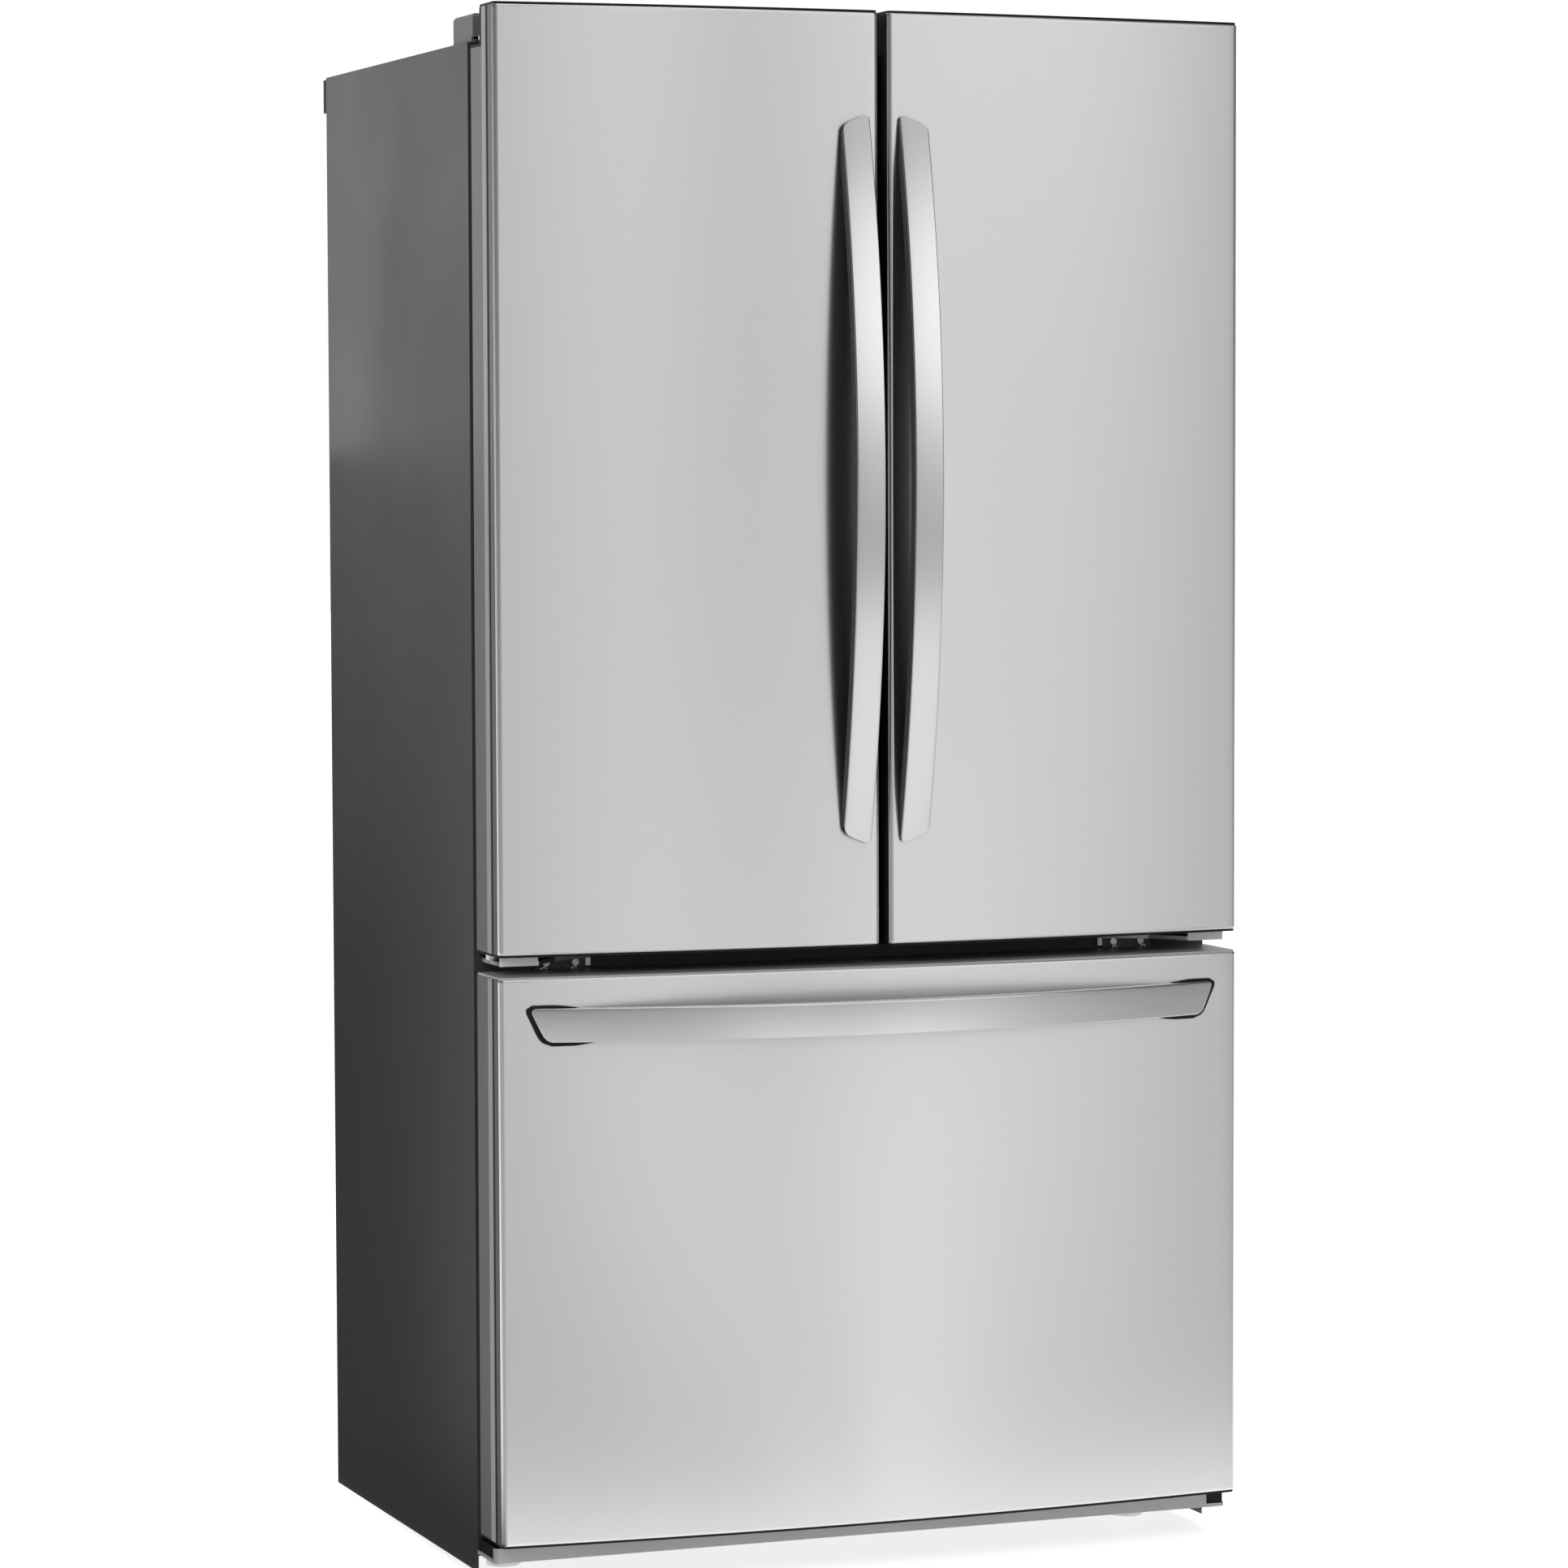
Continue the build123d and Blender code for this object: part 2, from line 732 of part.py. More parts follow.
def arched_bar(half_length, end_front):
    """A broad ring, bowed towards -Y about x = 0, that a handle's outline is cut from."""
    middle_front = door_front - door_bulge - handle_reach
    rise = end_front - middle_front
    radius = (half_length ** 2 + rise ** 2) / (2 * rise)
    outer = Cylinder(radius, 400)
    inner = Cylinder(radius - handle_thickness, 410)
    return Pos(0, middle_front + radius, 0) * (outer - inner)


def door_handle():
    """Upright bowed bar of the left door, longest on the side next to the gap."""
    x_near = -handle_from_centre
    x_far = x_near - handle_width
    surface = front_y(x_near)
    bow = arched_bar((handle_high - handle_low) / 2, surface - handle_end_rise)
    bow = Pos(0, 0, (handle_low + handle_high) / 2) * Rot(0, 90, 0) * bow
    corners = [(x_near, handle_low), (x_near, handle_high),
               (x_far, handle_high - handle_slant), (x_far, handle_low + handle_slant)]
    outline = make_face(Polyline(*[(x, 0, z) for x, z in corners], close=True))
    frame = extrude(Pos(0, surface, 0) * outline, handle_reach + door_bulge, dir=(0, -1, 0))
    return bow & frame


def drawer_handle():
    """Level bowed bar of the freezer drawer, longest along its upper edge."""
    high = drawer_handle_top
    low = high - drawer_handle_height
    bow = arched_bar(drawer_handle_half, front_y(drawer_handle_half) - handle_end_rise)
    bow = Pos(0, 0, (low + high) / 2) * bow
    low_half = drawer_handle_half - drawer_handle_slant
    corners = [(-drawer_handle_half, high), (drawer_handle_half, high), (low_half, low), (-low_half, low)]
    outline = make_face(Polyline(*[(x, 0, z) for x, z in corners], close=True))
    frame = extrude(Pos(0, door_back, 0) * outline, overall_depth / 2 + door_back, dir=(0, -1, 0))
    body = front_slab(-half_width, half_width, door_back + 1, low - 5, high + 5)
    return (bow & frame) - body


# ---------------------------------------------------------------- inside the fridge

shelf_y = case_front + shelf_front
duct_front = liner_back - duct_depth
glass_back = duct_front - 4.0
crisper_floor = fridge_floor + crisper_under_gap
crisper_cover_level = crisper_floor + crisper_height + crisper_over_gap - crisper_under_gap
shelf_spacing = (fridge_ceiling - crisper_cover_level) / (shelf_count + 1)
shelf_levels = [crisper_cover_level + shelf_spacing * (index + 1) for index in range(shelf_count)]


def shelf_positions():
    """X limits and level of each half-width glass shelf."""
    inner = shelf_gap / 2
    outer = fridge_half - shelf_side_gap
    return [(low, high, level) for level in shelf_levels for low, high in ((-outer, -inner), (inner, outer))]


def shelf_glass():
    lip = bracket_thickness
    return [block(low + lip, high - lip, shelf_y + lip, glass_back, level, level + glass_thickness)
            for low, high, level in shelf_positions()]


def shelf_trims():
    """White edge strips along the front of each shelf."""
    trims = []
    lip = bracket_thickness - fit / 2
    for low, high, level in shelf_positions():
        base = level - trim_below_glass
        strip = block(low, high, shelf_y, shelf_y + trim_depth, base, base + trim_height)
        groove = block(low + lip, high - lip, shelf_y + lip, shelf_y + trim_depth + 1,
                       level, level + glass_thickness)
        trims.append(strip - groove)
    return group(trims)


def shelf_brackets():
    """Steel arms that carry the shelves from the back wall."""
    arms = []
    half = bracket_thickness / 2
    front = shelf_y + trim_depth + 20
    for low, high, level in shelf_positions():
        for x in (low + 10 * bracket_thickness, high - 10 * bracket_thickness):
            back = duct_front if abs(x) < duct_width / 2 else liner_back
            arms.append(block(x - half, x + half, front, back, level - bracket_depth, level))
    return arms


def crisper():
    low = -fridge_half + crisper_side_gap
    high = -crisper_middle_gap
    front = shelf_y - crisper_ahead
    rim = crisper_floor + crisper_height
    body = open_box((low, high, front, glass_back - 6, crisper_floor, rim), crisper_wall)
    grip = block(low + 40, high - 40, front - crisper_grip, front + 1, rim - 24, rim - 20)
    return body + grip


def crisper_cover():
    """Glass cover over both crispers, which is also the lowest shelf."""
    edge = fridge_half - 1.0
    top = crisper_cover_level + glass_thickness
    return block(-edge, edge, shelf_y, glass_back, crisper_cover_level, top)


def crisper_supports():
    """Ledges on the side walls and a post between the crispers, under their cover."""
    level = crisper_cover_level
    left = block(-fridge_half, -fridge_half + 11, shelf_y, glass_back, level - bracket_depth, level)
    post_half = crisper_middle_gap - 1
    middle = block(-post_half, post_half, shelf_y, glass_back, fridge_floor, level)
    return [left, mirrored(left), middle]


def air_duct():
    """Moulded air duct up the back wall, with three outlets on each side."""
    half = duct_width / 2
    duct = block(-half, half, duct_front, liner_back, crisper_cover_level + duct_above_cover,
                 fridge_ceiling - 4)
    duct = fillet(duct.edges().filter_by(Axis.Z).group_by(Axis.Y)[0], 10)
    for index in range(shelf_count + 1):
        top = crisper_cover_level + shelf_spacing * (index + 1) - 5 * outlet_height
        for x in (-0.6 * half, 0.6 * half):
            duct -= block(x - outlet_width / 2, x + outlet_width / 2, duct_front - 1,
                          duct_front + outlet_depth, top - outlet_height, top)
    return duct


def ceiling_light():
    """Lens of the lamp on the fridge ceiling."""
    y = case_front + lamp_back
    half = lamp_width / 2
    lens = block(-half, half, y, y + lamp_depth, fridge_ceiling - lamp_drop, fridge_ceiling)
    return fillet(lens.edges().group_by(Axis.Z)[0], 5)


# ---------------------------------------------------------------- freezer drawer

def drawer_skin():
    outer = front_slab(-half_width, half_width, door_front + skin_return, drawer_bottom + 1,
                       drawer_top - 1, 0, front_corner)
    inner = front_slab(-half_width + skin, half_width - skin, door_front + skin_return + 5,
                       drawer_bottom, drawer_top, skin, front_corner - skin)
    return outer - inner


def drawer_foam():
    edge = half_width - rail_thickness
    return front_slab(-edge, edge, door_back - inner_panel, drawer_bottom + cap_thickness,
                      drawer_top - cap_thickness, skin, 4)


def drawer_frame():
    """Painted side strips and black end caps of the drawer front."""
    rail = block(-half_width, -half_width + rail_thickness, door_front + skin_return, door_back,
                 drawer_bottom + cap_thickness, drawer_top - cap_thickness)
    edge = half_width - 1.5
    caps = [rail, mirrored(rail)]
    for low in (drawer_bottom, drawer_top - cap_thickness):
        caps.append(front_slab(-edge, edge, door_back - 1, low, low + cap_thickness, 1.5, 5))
    return group(caps)


def drawer_liner():
    edge = half_width - rail_thickness
    panel = block(-edge, edge, door_back - inner_panel, door_back,
                  drawer_bottom + cap_thickness, drawer_top - cap_thickness)
    inset = basket_half - rail_foot_width - 4
    raised = block(-inset, inset, door_back, door_back + 14, freezer_floor + 30, divider_bottom - 30)
    return panel + fillet(raised.edges().group_by(Axis.Y)[-1], 6)


def drawer_gasket():
    edge = half_width - gasket_edge
    low = freezer_floor - gasket_width - 4
    return gasket(-edge, edge, low, drawer_top - cap_thickness - gasket_from_end)


basket_front = door_back + basket_from_door
basket_back = step_front - basket_from_step
rail_outer_x = fridge_half
rail_middle_x = rail_outer_x - rail_width - fit
rail_inner_x = rail_middle_x - rail_width - fit
basket_half = rail_inner_x - rail_width
rail_front = case_front + rail_from_front
rail_back = liner_back - rail_from_back


def rail_bar(x_outer, y_low, inset):
    """One member of the left telescopic rail."""
    return block(-x_outer, -x_outer + rail_width, y_low, rail_back, rail_level + inset,
                 rail_level + rail_height - inset)


def cabinet_rails():
    """Fixed outer members of the drawer's telescopic rails."""
    left = rail_bar(rail_outer_x, rail_front, 0)
    return group([left, mirrored(left)])


def middle_rails():
    """Middle members, which travel half as far as the drawer."""
    left = rail_bar(rail_middle_x, rail_front, 2)
    return group([left, mirrored(left)])


def drawer_rails():
    """Inner members, fixed to the drawer front by a plate at each front end."""
    left = rail_bar(rail_inner_x, door_back, 4)
    left += block(-rail_inner_x, -rail_inner_x + rail_width + rail_foot_width, door_back,
                  door_back + inner_panel, rail_level - 30, rail_level + rail_height + 10)
    return group([left, mirrored(left)])


def basket():
    """Deep freezer basket, with slots in its front, hung between the rails."""
    edge = basket_half - fit
    body = open_box((-edge, edge, basket_front, basket_back, basket_floor, basket_top), basket_wall)
    columns = int((edge - basket_slot) / basket_slot_pitch)
    for column in range(-columns, columns + 1):
        x = column * basket_slot_pitch
        for low in (basket_floor + 90, basket_floor + 130):
            body -= block(x - basket_slot / 2, x + basket_slot / 2, basket_front - 1,
                          basket_front + basket_wall + 1, low, low + basket_slot_height)
    return body


def basket_hooks():
    """Ears that hang the basket on the drawer's rails."""
    hooks = []
    for y in (basket_front + hook_from_end, basket_back - hook_from_end):
        left = block(-basket_half, -basket_half + hook_thickness, y - hook_width / 2, y + hook_width / 2,
                     basket_top - hook_width, rail_level + rail_height - hook_thickness)
        hooks += [left, mirrored(left)]
    return group(hooks)


def freezer_tray():
    """Shallow tray that slides forward and back over the basket."""
    rear = basket_back - basket_wall
    half = basket_half - tray_side_gap
    floor = basket_top + touch
    return open_box((-half, half, rear - tray_depth, rear, floor, floor + tray_height), basket_wall)


# ---------------------------------------------------------------- feet, rollers and kick plate

def leg_positions():
    return [(-leg_x, case_front + leg_back), (leg_x, case_front + leg_back)]


def levelling_leg(x, y):
    """Foot disc, hexagon and threaded stud that screw up into the base."""
    foot = rod(foot_radius, x, y, 0, foot_height)
    foot = chamfer(foot.edges().group_by(Axis.Z)[-1], 3)
    nut = Pos(x, y, foot_height) * extrude(RegularPolygon(nut_radius, 6), nut_height)
    stud = rod(stud_radius, x, y, foot_height + nut_height, base_height + sheet / 2)
    return foot + nut + stud


def leg_brackets():
    """Steel channels under the base that the legs screw into."""
    brackets = []
    half = leg_bracket_half
    depth = leg_bracket_depth
    low = base_height - depth
    for x, y in leg_positions():
        bracket = block(x - half, x + half, y - depth, y + depth, base_height - bracket_wall, base_height)
        for wall_x in (x - half, x + half - bracket_wall):
            bracket += block(wall_x, wall_x + bracket_wall, y - depth, y + depth, low, base_height)
        brackets.append(bracket - rod(stud_radius + pin_fit, x, y, low, base_height + 1))
    return group(brackets)


def roller_positions():
    return [(-leg_x, case_back - roller_back), (leg_x, case_back - roller_back)]


def roller(x, y):
    """Rear roller with a hub that stands out on each side."""
    half = roller_width / 2
    wheel = cross_rod(roller_radius, y, roller_radius, x - half, x + half)
    wheel = fillet(wheel.edges(), 2)
    hub_half = half + hub_stand_out
    wheel += cross_rod(hub_radius, y, roller_radius, x - hub_half, x + hub_half)
    return wheel - cross_rod(axle_radius + pin_fit, y, roller_radius, x - roller_width, x + roller_width)


def roller_brackets():
    """Forks under the base with the rear rollers' axles."""
    brackets = []
    inner = roller_width / 2 + hub_stand_out + fit
    outer = inner + bracket_wall
    for x, y in roller_positions():
        fork = block(x - outer, x + outer, y - roller_radius + 4, y + roller_radius - 4,
                     base_height - bracket_wall, base_height)
        for x_low in (x - outer, x + inner):
            fork += block(x_low, x_low + bracket_wall, y - fork_half, y + fork_half,
                          roller_radius - hub_radius, base_height)
        brackets.append(fork + cross_rod(axle_radius, y, roller_radius, x - outer - 2, x + outer + 2))
    return group(brackets)


kick_front = case_front - kick_from_case


def kick_plate():
    """Silver toe plate across the front, turned back to the case at each end.
    Its right end is notched across the front, and its left end along the side."""
    plate = block(-half_width, half_width, kick_front, case_front - touch, kick_bottom, kick_top)
    plate = fillet(plate.edges().filter_by(Axis.Z).group_by(Axis.Y)[0], kick_corner)
    edge = half_width - kick_wall
    plate -= block(-edge, edge, kick_front + kick_wall, case_front + 1, kick_bottom - 1, kick_top + 1)
    notch_low = kick_bottom + kick_lip
    plate -= block(half_width - kick_notch_width, half_width + 1, kick_front - 1, case_front + 1,
                   notch_low, kick_top + 1)
    plate -= block(-half_width - 1, -half_width + kick_corner, kick_front + kick_corner, case_front + 1,
                   notch_low, kick_top + 1)
    return plate


def kick_ends():
    """Black blocks behind the notches at the ends of the toe plate."""
    x_low = -half_width + kick_end_inset
    left = block(x_low, x_low + kick_end_width, kick_front + kick_wall, case_front - touch,
                 kick_bottom + kick_wall, kick_top)
    return group([left, mirrored(left)])


def base_front():
    """Steel cross member that carries the toe plate between the leg brackets."""
    return block(-case_edge, case_edge, case_front, case_inside, cross_member_low, base_height)


# ---------------------------------------------------------------- machine compartment

def compressor():
    """Hermetic compressor: a domed steel shell on three feet."""
    low = machine_floor + compressor_stand
    shell = rod(compressor_radius, compressor_x, machine_middle, low, low + compressor_height)
    shell = fillet(shell.edges().group_by(Axis.Z)[-1], 34)
    shell = fillet(shell.edges().group_by(Axis.Z)[0], 16)
    seam = low + compressor_height / 2
    shell += rod(compressor_radius + 4, compressor_x, machine_middle, seam - 4, seam + 4)
    foot_reach = compressor_radius + 8
    for turn in range(3):
        direction = 120 * turn + 30
        x = compressor_x + foot_reach * math.cos(math.radians(direction))
        y = machine_middle + foot_reach * math.sin(math.radians(direction))
        shell += rod(12, x, y, machine_floor, low + 3)
        bracket = Box(compressor_radius, 20, 4)
        shell += Pos((x + compressor_x) / 2, (y + machine_middle) / 2, low) * Rot(0, 0, direction) * bracket
    return shell


fan_z = machine_floor + fan_height


def condenser():
    """Coil block with rows of fins along both faces."""
    x_high = condenser_low_x + condenser_length
    front = machine_middle - condenser_width / 2
    back = machine_middle + condenser_width / 2
    low = machine_floor + condenser_above_floor
    high = low + condenser_height
    core = block(condenser_low_x, x_high, front, back, low, high)
    for index in range(int(condenser_length / fin_pitch) - 1):
        x = condenser_low_x + 12 + index * fin_pitch
        core -= block(x, x + fin_gap, front - 1, front + fin_depth, low - 1, high + 1)
        core -= block(x, x + fin_gap, back - fin_depth, back + 1, low - 1, high + 1)
    return core


def fan_shroud():
    """Plate with a round opening, and the motor held in it by three arms."""
    plate = block(fan_x - shroud_half, fan_x + shroud_half, machine_middle - shroud_width / 2,
                  machine_middle + shroud_width / 2, machine_floor, machine_floor + shroud_height)
    opening = fan_radius + 5
    plate -= cross_rod(opening, machine_middle, fan_z, fan_x - shroud_half - 1, fan_x + shroud_half + 1)
    motor_front = fan_x + shroud_half - 4
    shroud = plate + cross_rod(motor_radius, machine_middle, fan_z, motor_front, motor_front + 28)
    shroud += cross_rod(fan_shaft, machine_middle, fan_z, fan_x - 10, motor_front + 2)
    arm_length = opening - motor_radius + 8
    for turn in range(3):
        arm = Pos(0, motor_radius - 4 + arm_length / 2, 0) * Box(4, arm_length, 10)
        shroud += Pos(fan_x + shroud_half - 2, machine_middle, fan_z) * Rot(120 * turn + 90, 0, 0) * arm
    return shroud


def fan(hub, hub_length, reach, pitch, chord, bore):
    """Five-bladed fan about the X axis, with a bore for its shaft."""
    wheel = Rot(0, 90, 0) * Cylinder(hub, hub_length)
    blade_length = reach - hub + 2
    for turn in range(fan_blades):
        blade = Pos(0, hub - 2 + blade_length / 2, 0) * Rot(0, pitch, 0) * Box(2, blade_length, chord)
        wheel += Rot(360 / fan_blades * turn, 0, 0) * blade
    return wheel - Rot(0, 90, 0) * Cylinder(bore, 2 * hub_length)


def condenser_fan():
    """Fan that draws air over the condenser, on the motor's shaft."""
    blades = fan(fan_hub, 18.0, fan_radius, 32.0, 26.0, fan_shaft + pin_fit)
    return Pos(fan_x, machine_middle, fan_z) * blades


def drip_tray():
    """Shallow pan under the condenser that catches the defrost water."""
    margin = drip_tray_margin
    front = machine_middle - condenser_width / 2 - margin
    back = machine_middle + condenser_width / 2 + margin
    return open_box((condenser_low_x - margin, condenser_low_x + condenser_length + margin, front, back,
                     machine_floor, machine_floor + drip_tray_height), drip_tray_wall)


# ---------------------------------------------------------------- evaporator, behind the freezer

evaporator_front = liner_back - evaporator_space
evaporator_low = step_top + evaporator_above_step


def evaporator_cover():
    """White wall that hides the evaporator, with air slots."""
    cover = block(-fridge_half, fridge_half, evaporator_front - cover_thickness, evaporator_front,
                  step_top, divider_bottom)
    for row in range(vent_rows):
        z = step_top + 40 + row * vent_pitch
        vent = block(vent_low_x, vent_low_x + vent_width, evaporator_front - cover_thickness - 1,
                     evaporator_front + 1, z, z + vent_height)
        cover -= vent + mirrored(vent)
    return cover


def evaporator():
    """Finned coil."""
    front = evaporator_front + evaporator_front_gap
    high = evaporator_low + evaporator_height
    core = block(-evaporator_half, evaporator_half, front, liner_back - evaporator_back_gap,
                 evaporator_low, high)
    for index in range(int(2 * evaporator_half / fin_pitch) - 1):
        x = -evaporator_half + 12 + index * fin_pitch
        core -= block(x, x + fin_gap, front - 1, front + evaporator_fin_depth, evaporator_low - 1, high + 1)
    return core


evaporator_fan_z = divider_bottom - evaporator_fan_drop
evaporator_fan_y = evaporator_front + evaporator_fan_back


def evaporator_fan():
    """Fan that blows cold air forward, on the motor's shaft."""
    blades = fan(evaporator_hub, 14.0, evaporator_fan_reach, 28.0, 20.0, evaporator_shaft + pin_fit)
    return Pos(0, evaporator_fan_y, evaporator_fan_z) * Rot(0, 0, 90) * blades


def evaporator_motor():
    """Motor on the freezer's rear wall, with its shaft."""
    front = evaporator_fan_y + 9.0
    motor = Pos(0, (front + liner_back) / 2, evaporator_fan_z) * Rot(90, 0, 0) * Cylinder(
        evaporator_motor_radius, liner_back - front)
    shaft = Pos(0, evaporator_fan_y, evaporator_fan_z) * Rot(90, 0, 0) * Cylinder(evaporator_shaft, 18)
    return motor + shaft


def build_cabinet():
    parts["left_side_panel"] = side_panel()
    parts["right_side_panel"] = mirrored(side_panel())
    parts["top_and_back_panels"] = group([top_panel(), back_panel()])
    parts["chassis"] = group([base_pan(), base_front()] + front_flange())
    parts["cabinet_foam"] = cabinet_foam()
    parts["fridge_liner"] = fridge_liner()
    parts["freezer_liner"] = freezer_liner()
    parts["rear_spacers"] = rear_spacers()
    parts["rear_cover"] = rear_cover()
    parts["cord_gland"] = cord_gland()
    left_hinges = [top_hinge(), centre_hinge()]
    parts["hinges"] = group(left_hinges + [mirrored(hinge) for hinge in left_hinges] + hinge_screws())
    parts["hinge_covers"] = group([hinge_cover(), mirrored(hinge_cover())])


def build_doors():
    makers = {"door_skin": door_skin, "door_foam": door_foam, "door_frame": door_frame,
              "door_gasket": door_gasket}
    for name, maker in makers.items():
        left = maker()
        parts["left_" + name] = left
        parts["right_" + name] = mirrored(left)
    parts["left_door_liner"] = group([door_liner()] + flap_hinges())
    parts["right_door_liner"] = mirrored(door_liner())
    bins = group([door_bin(level) for level in bin_levels])
    parts["left_door_bins"] = bins
    parts["right_door_bins"] = mirrored(bins)
    parts["dairy_bin"] = dairy_bin() + lid_pins()
    parts["dairy_lid"] = dairy_lid()
    parts["mullion_flap"] = mullion_flap()
    parts["left_handle"] = door_handle()
    parts["right_handle"] = mirrored(door_handle())


def build_fridge():
    parts["shelf_glass"] = group(shelf_glass() + [crisper_cover()])
    parts["shelf_trims"] = shelf_trims()
    parts["shelf_supports"] = group(shelf_brackets() + crisper_supports())
    parts["left_crisper"] = crisper()
    parts["right_crisper"] = mirrored(crisper())
    parts["air_covers"] = group([air_duct(), evaporator_cover()])
    parts["ceiling_light"] = ceiling_light()


def build_drawer():
    parts["drawer_skin"] = drawer_skin()
    parts["drawer_foam"] = drawer_foam()
    parts["drawer_frame"] = drawer_frame()
    parts["drawer_liner"] = drawer_liner()
    parts["drawer_gasket"] = drawer_gasket()
    parts["drawer_handle"] = drawer_handle()
    parts["cabinet_rails"] = cabinet_rails()
    parts["middle_rails"] = middle_rails()
    parts["drawer_rails"] = drawer_rails()
    parts["freezer_basket"] = basket() + basket_hooks()
    parts["freezer_tray"] = freezer_tray()


def build_base():
    for name, (x, y) in zip(("left_leg", "right_leg"), leg_positions()):
        parts[name] = levelling_leg(x, y)
    for name, (x, y) in zip(("left_roller", "right_roller"), roller_positions()):
        parts[name] = roller(x, y)
    parts["underbody_brackets"] = group([leg_brackets(), roller_brackets()])
    parts["kick_plate"] = kick_plate()
    parts["kick_ends"] = kick_ends()


def build_machinery():
    parts["compressor"] = compressor()
    parts["condenser"] = group([condenser(), drip_tray()])
    parts["fan_shroud"] = fan_shroud()
    parts["condenser_fan"] = condenser_fan()
    parts["evaporator"] = group([evaporator(), evaporator_motor()])
    parts["evaporator_fan"] = evaporator_fan()


build_cabinet()
build_doors()
build_fridge()
build_drawer()
build_base()
build_machinery()

for name, shape in parts.items():
    export_step(shape, f"parts/{name}.step")
print(len(parts), "nodes, overall depth", round(overall_depth, 1))
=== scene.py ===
import math

import bmesh
import bpy
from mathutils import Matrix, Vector


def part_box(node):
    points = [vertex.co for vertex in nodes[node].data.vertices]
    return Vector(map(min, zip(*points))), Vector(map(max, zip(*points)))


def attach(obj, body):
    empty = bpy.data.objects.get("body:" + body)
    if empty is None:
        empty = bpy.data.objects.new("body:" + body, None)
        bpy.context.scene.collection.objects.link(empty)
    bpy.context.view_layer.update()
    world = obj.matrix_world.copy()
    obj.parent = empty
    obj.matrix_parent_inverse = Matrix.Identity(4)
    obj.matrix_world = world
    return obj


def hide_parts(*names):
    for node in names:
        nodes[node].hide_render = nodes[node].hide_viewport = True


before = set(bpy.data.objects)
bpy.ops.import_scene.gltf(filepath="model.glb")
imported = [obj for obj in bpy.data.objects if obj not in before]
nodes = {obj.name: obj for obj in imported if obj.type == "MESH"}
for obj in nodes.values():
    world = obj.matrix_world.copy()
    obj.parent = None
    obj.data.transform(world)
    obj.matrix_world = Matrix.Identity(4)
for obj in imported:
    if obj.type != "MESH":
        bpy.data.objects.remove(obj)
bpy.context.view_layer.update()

# --- Case ---------------------------------------------------------------------------------------
# The case is folded steel sheet, painted dark grey with a fine pebble texture, filled with foam.
# The sides and top hook into the front flange; the back is a plain sheet screwed on all round.


class Value:
    """A socket in a finish, so that what varies over a surface is written as sums."""

    def __init__(self, finish, socket):
        self.finish = finish
        self.socket = socket

    def sum(self, operation, first, second):
        return self.finish.node("Math", {"operation": operation}, {0: first, 1: second})

    def __truediv__(self, other):
        return self.sum("DIVIDE", self, other)

    def __rtruediv__(self, other):
        return self.sum("DIVIDE", other, self)

    def __add__(self, other):
        return self.sum("ADD", self, other)

    def __radd__(self, other):
        return self.sum("ADD", other, self)

    def __sub__(self, other):
        return self.sum("SUBTRACT", self, other)

    def __rsub__(self, other):
        return self.sum("SUBTRACT", other, self)

    def __mul__(self, other):
        return self.sum("MULTIPLY", self, other)

    def __rmul__(self, other):
        return self.sum("MULTIPLY", other, self)


class Finish:
    """A procedural finish: even values on the shader's own sockets, and links for what varies."""

    def __init__(self, name, library=bpy.data.materials, shader="Principled BSDF", **sockets):
        self.material = library.new(name)
        self.material.use_nodes = True
        self.tree = self.material.node_tree
        self.shader = self.tree.nodes[shader]
        for label, value in sockets.items():
            self.shader.inputs[label.replace("_", " ")].default_value = value

    def node(self, kind, settings=None, sockets=None, output=0):
        made = self.tree.nodes.new("ShaderNode" + kind)
        for label, value in (settings or {}).items():
            if label == "stops":
                self.set_stops(made.color_ramp, value)
            else:
                setattr(made, label, value)
        for label, value in (sockets or {}).items():
            if isinstance(value, Value):
                self.tree.links.new(value.socket, made.inputs[label])
            else:
                made.inputs[label].default_value = value
        return Value(self, made.outputs[output])

    def set_stops(self, ramp, stops):
        while len(ramp.elements) < len(stops):
            ramp.elements.new(1.0)
        for element, (place, colour) in zip(ramp.elements, stops):
            element.position = place
            element.color = colour

    def place(self, stretch=(1, 1, 1)):
        """The point on the object, in metres, stretched along each axis."""
        point = self.node("TexCoord", output="Object")
        return self.node("Mapping", sockets={"Vector": point, "Scale": stretch})

    def along(self, axis):
        """The point's own X, Y or Z."""
        point = self.node("TexCoord", output="Object")
        return self.node("SeparateXYZ", sockets={0: point}, output="XYZ".index(axis))

    def noise(self, scale, stretch=(1, 1, 1), detail=3.0, roughness=0.5):
        sockets = {"Vector": self.place(stretch), "Scale": scale, "Detail": detail, "Roughness": roughness}
        return self.node("TexNoise", sockets=sockets)

    def ramp(self, value, low, high, low_out=0.0, high_out=1.0):
        """Maps a range of a value to another range, clamped at both ends."""
        sockets = {0: value, 1: low, 2: high, 3: low_out, 4: high_out}
        return self.node("MapRange", sockets=sockets)

    def blend(self, mask, first, second):
        """One colour where the mask is 0, another where it is 1."""
        sockets = {0: mask, 6: first, 7: second}
        return self.node("Mix", {"data_type": "RGBA"}, sockets, output=2)

    def feed(self, label, value):
        self.tree.links.new(value.socket, self.shader.inputs[label])

    def bump(self, height, strength, distance):
        sockets = {"Height": height, "Strength": strength, "Distance": distance}
        self.feed("Normal", self.node("Bump", sockets=sockets))

    def cover(self, *names):
        """Gives the finish to CAD nodes by name."""
        for name in names:
            piece = nodes[name]
            piece.data.materials.clear()
            piece.data.materials.append(self.material)


def grey(level, warmth=0.0):
    """A neutral colour, or one a little warmer or cooler."""
    return (level * (1 + warmth), level, level * (1 - warmth), 1.0)


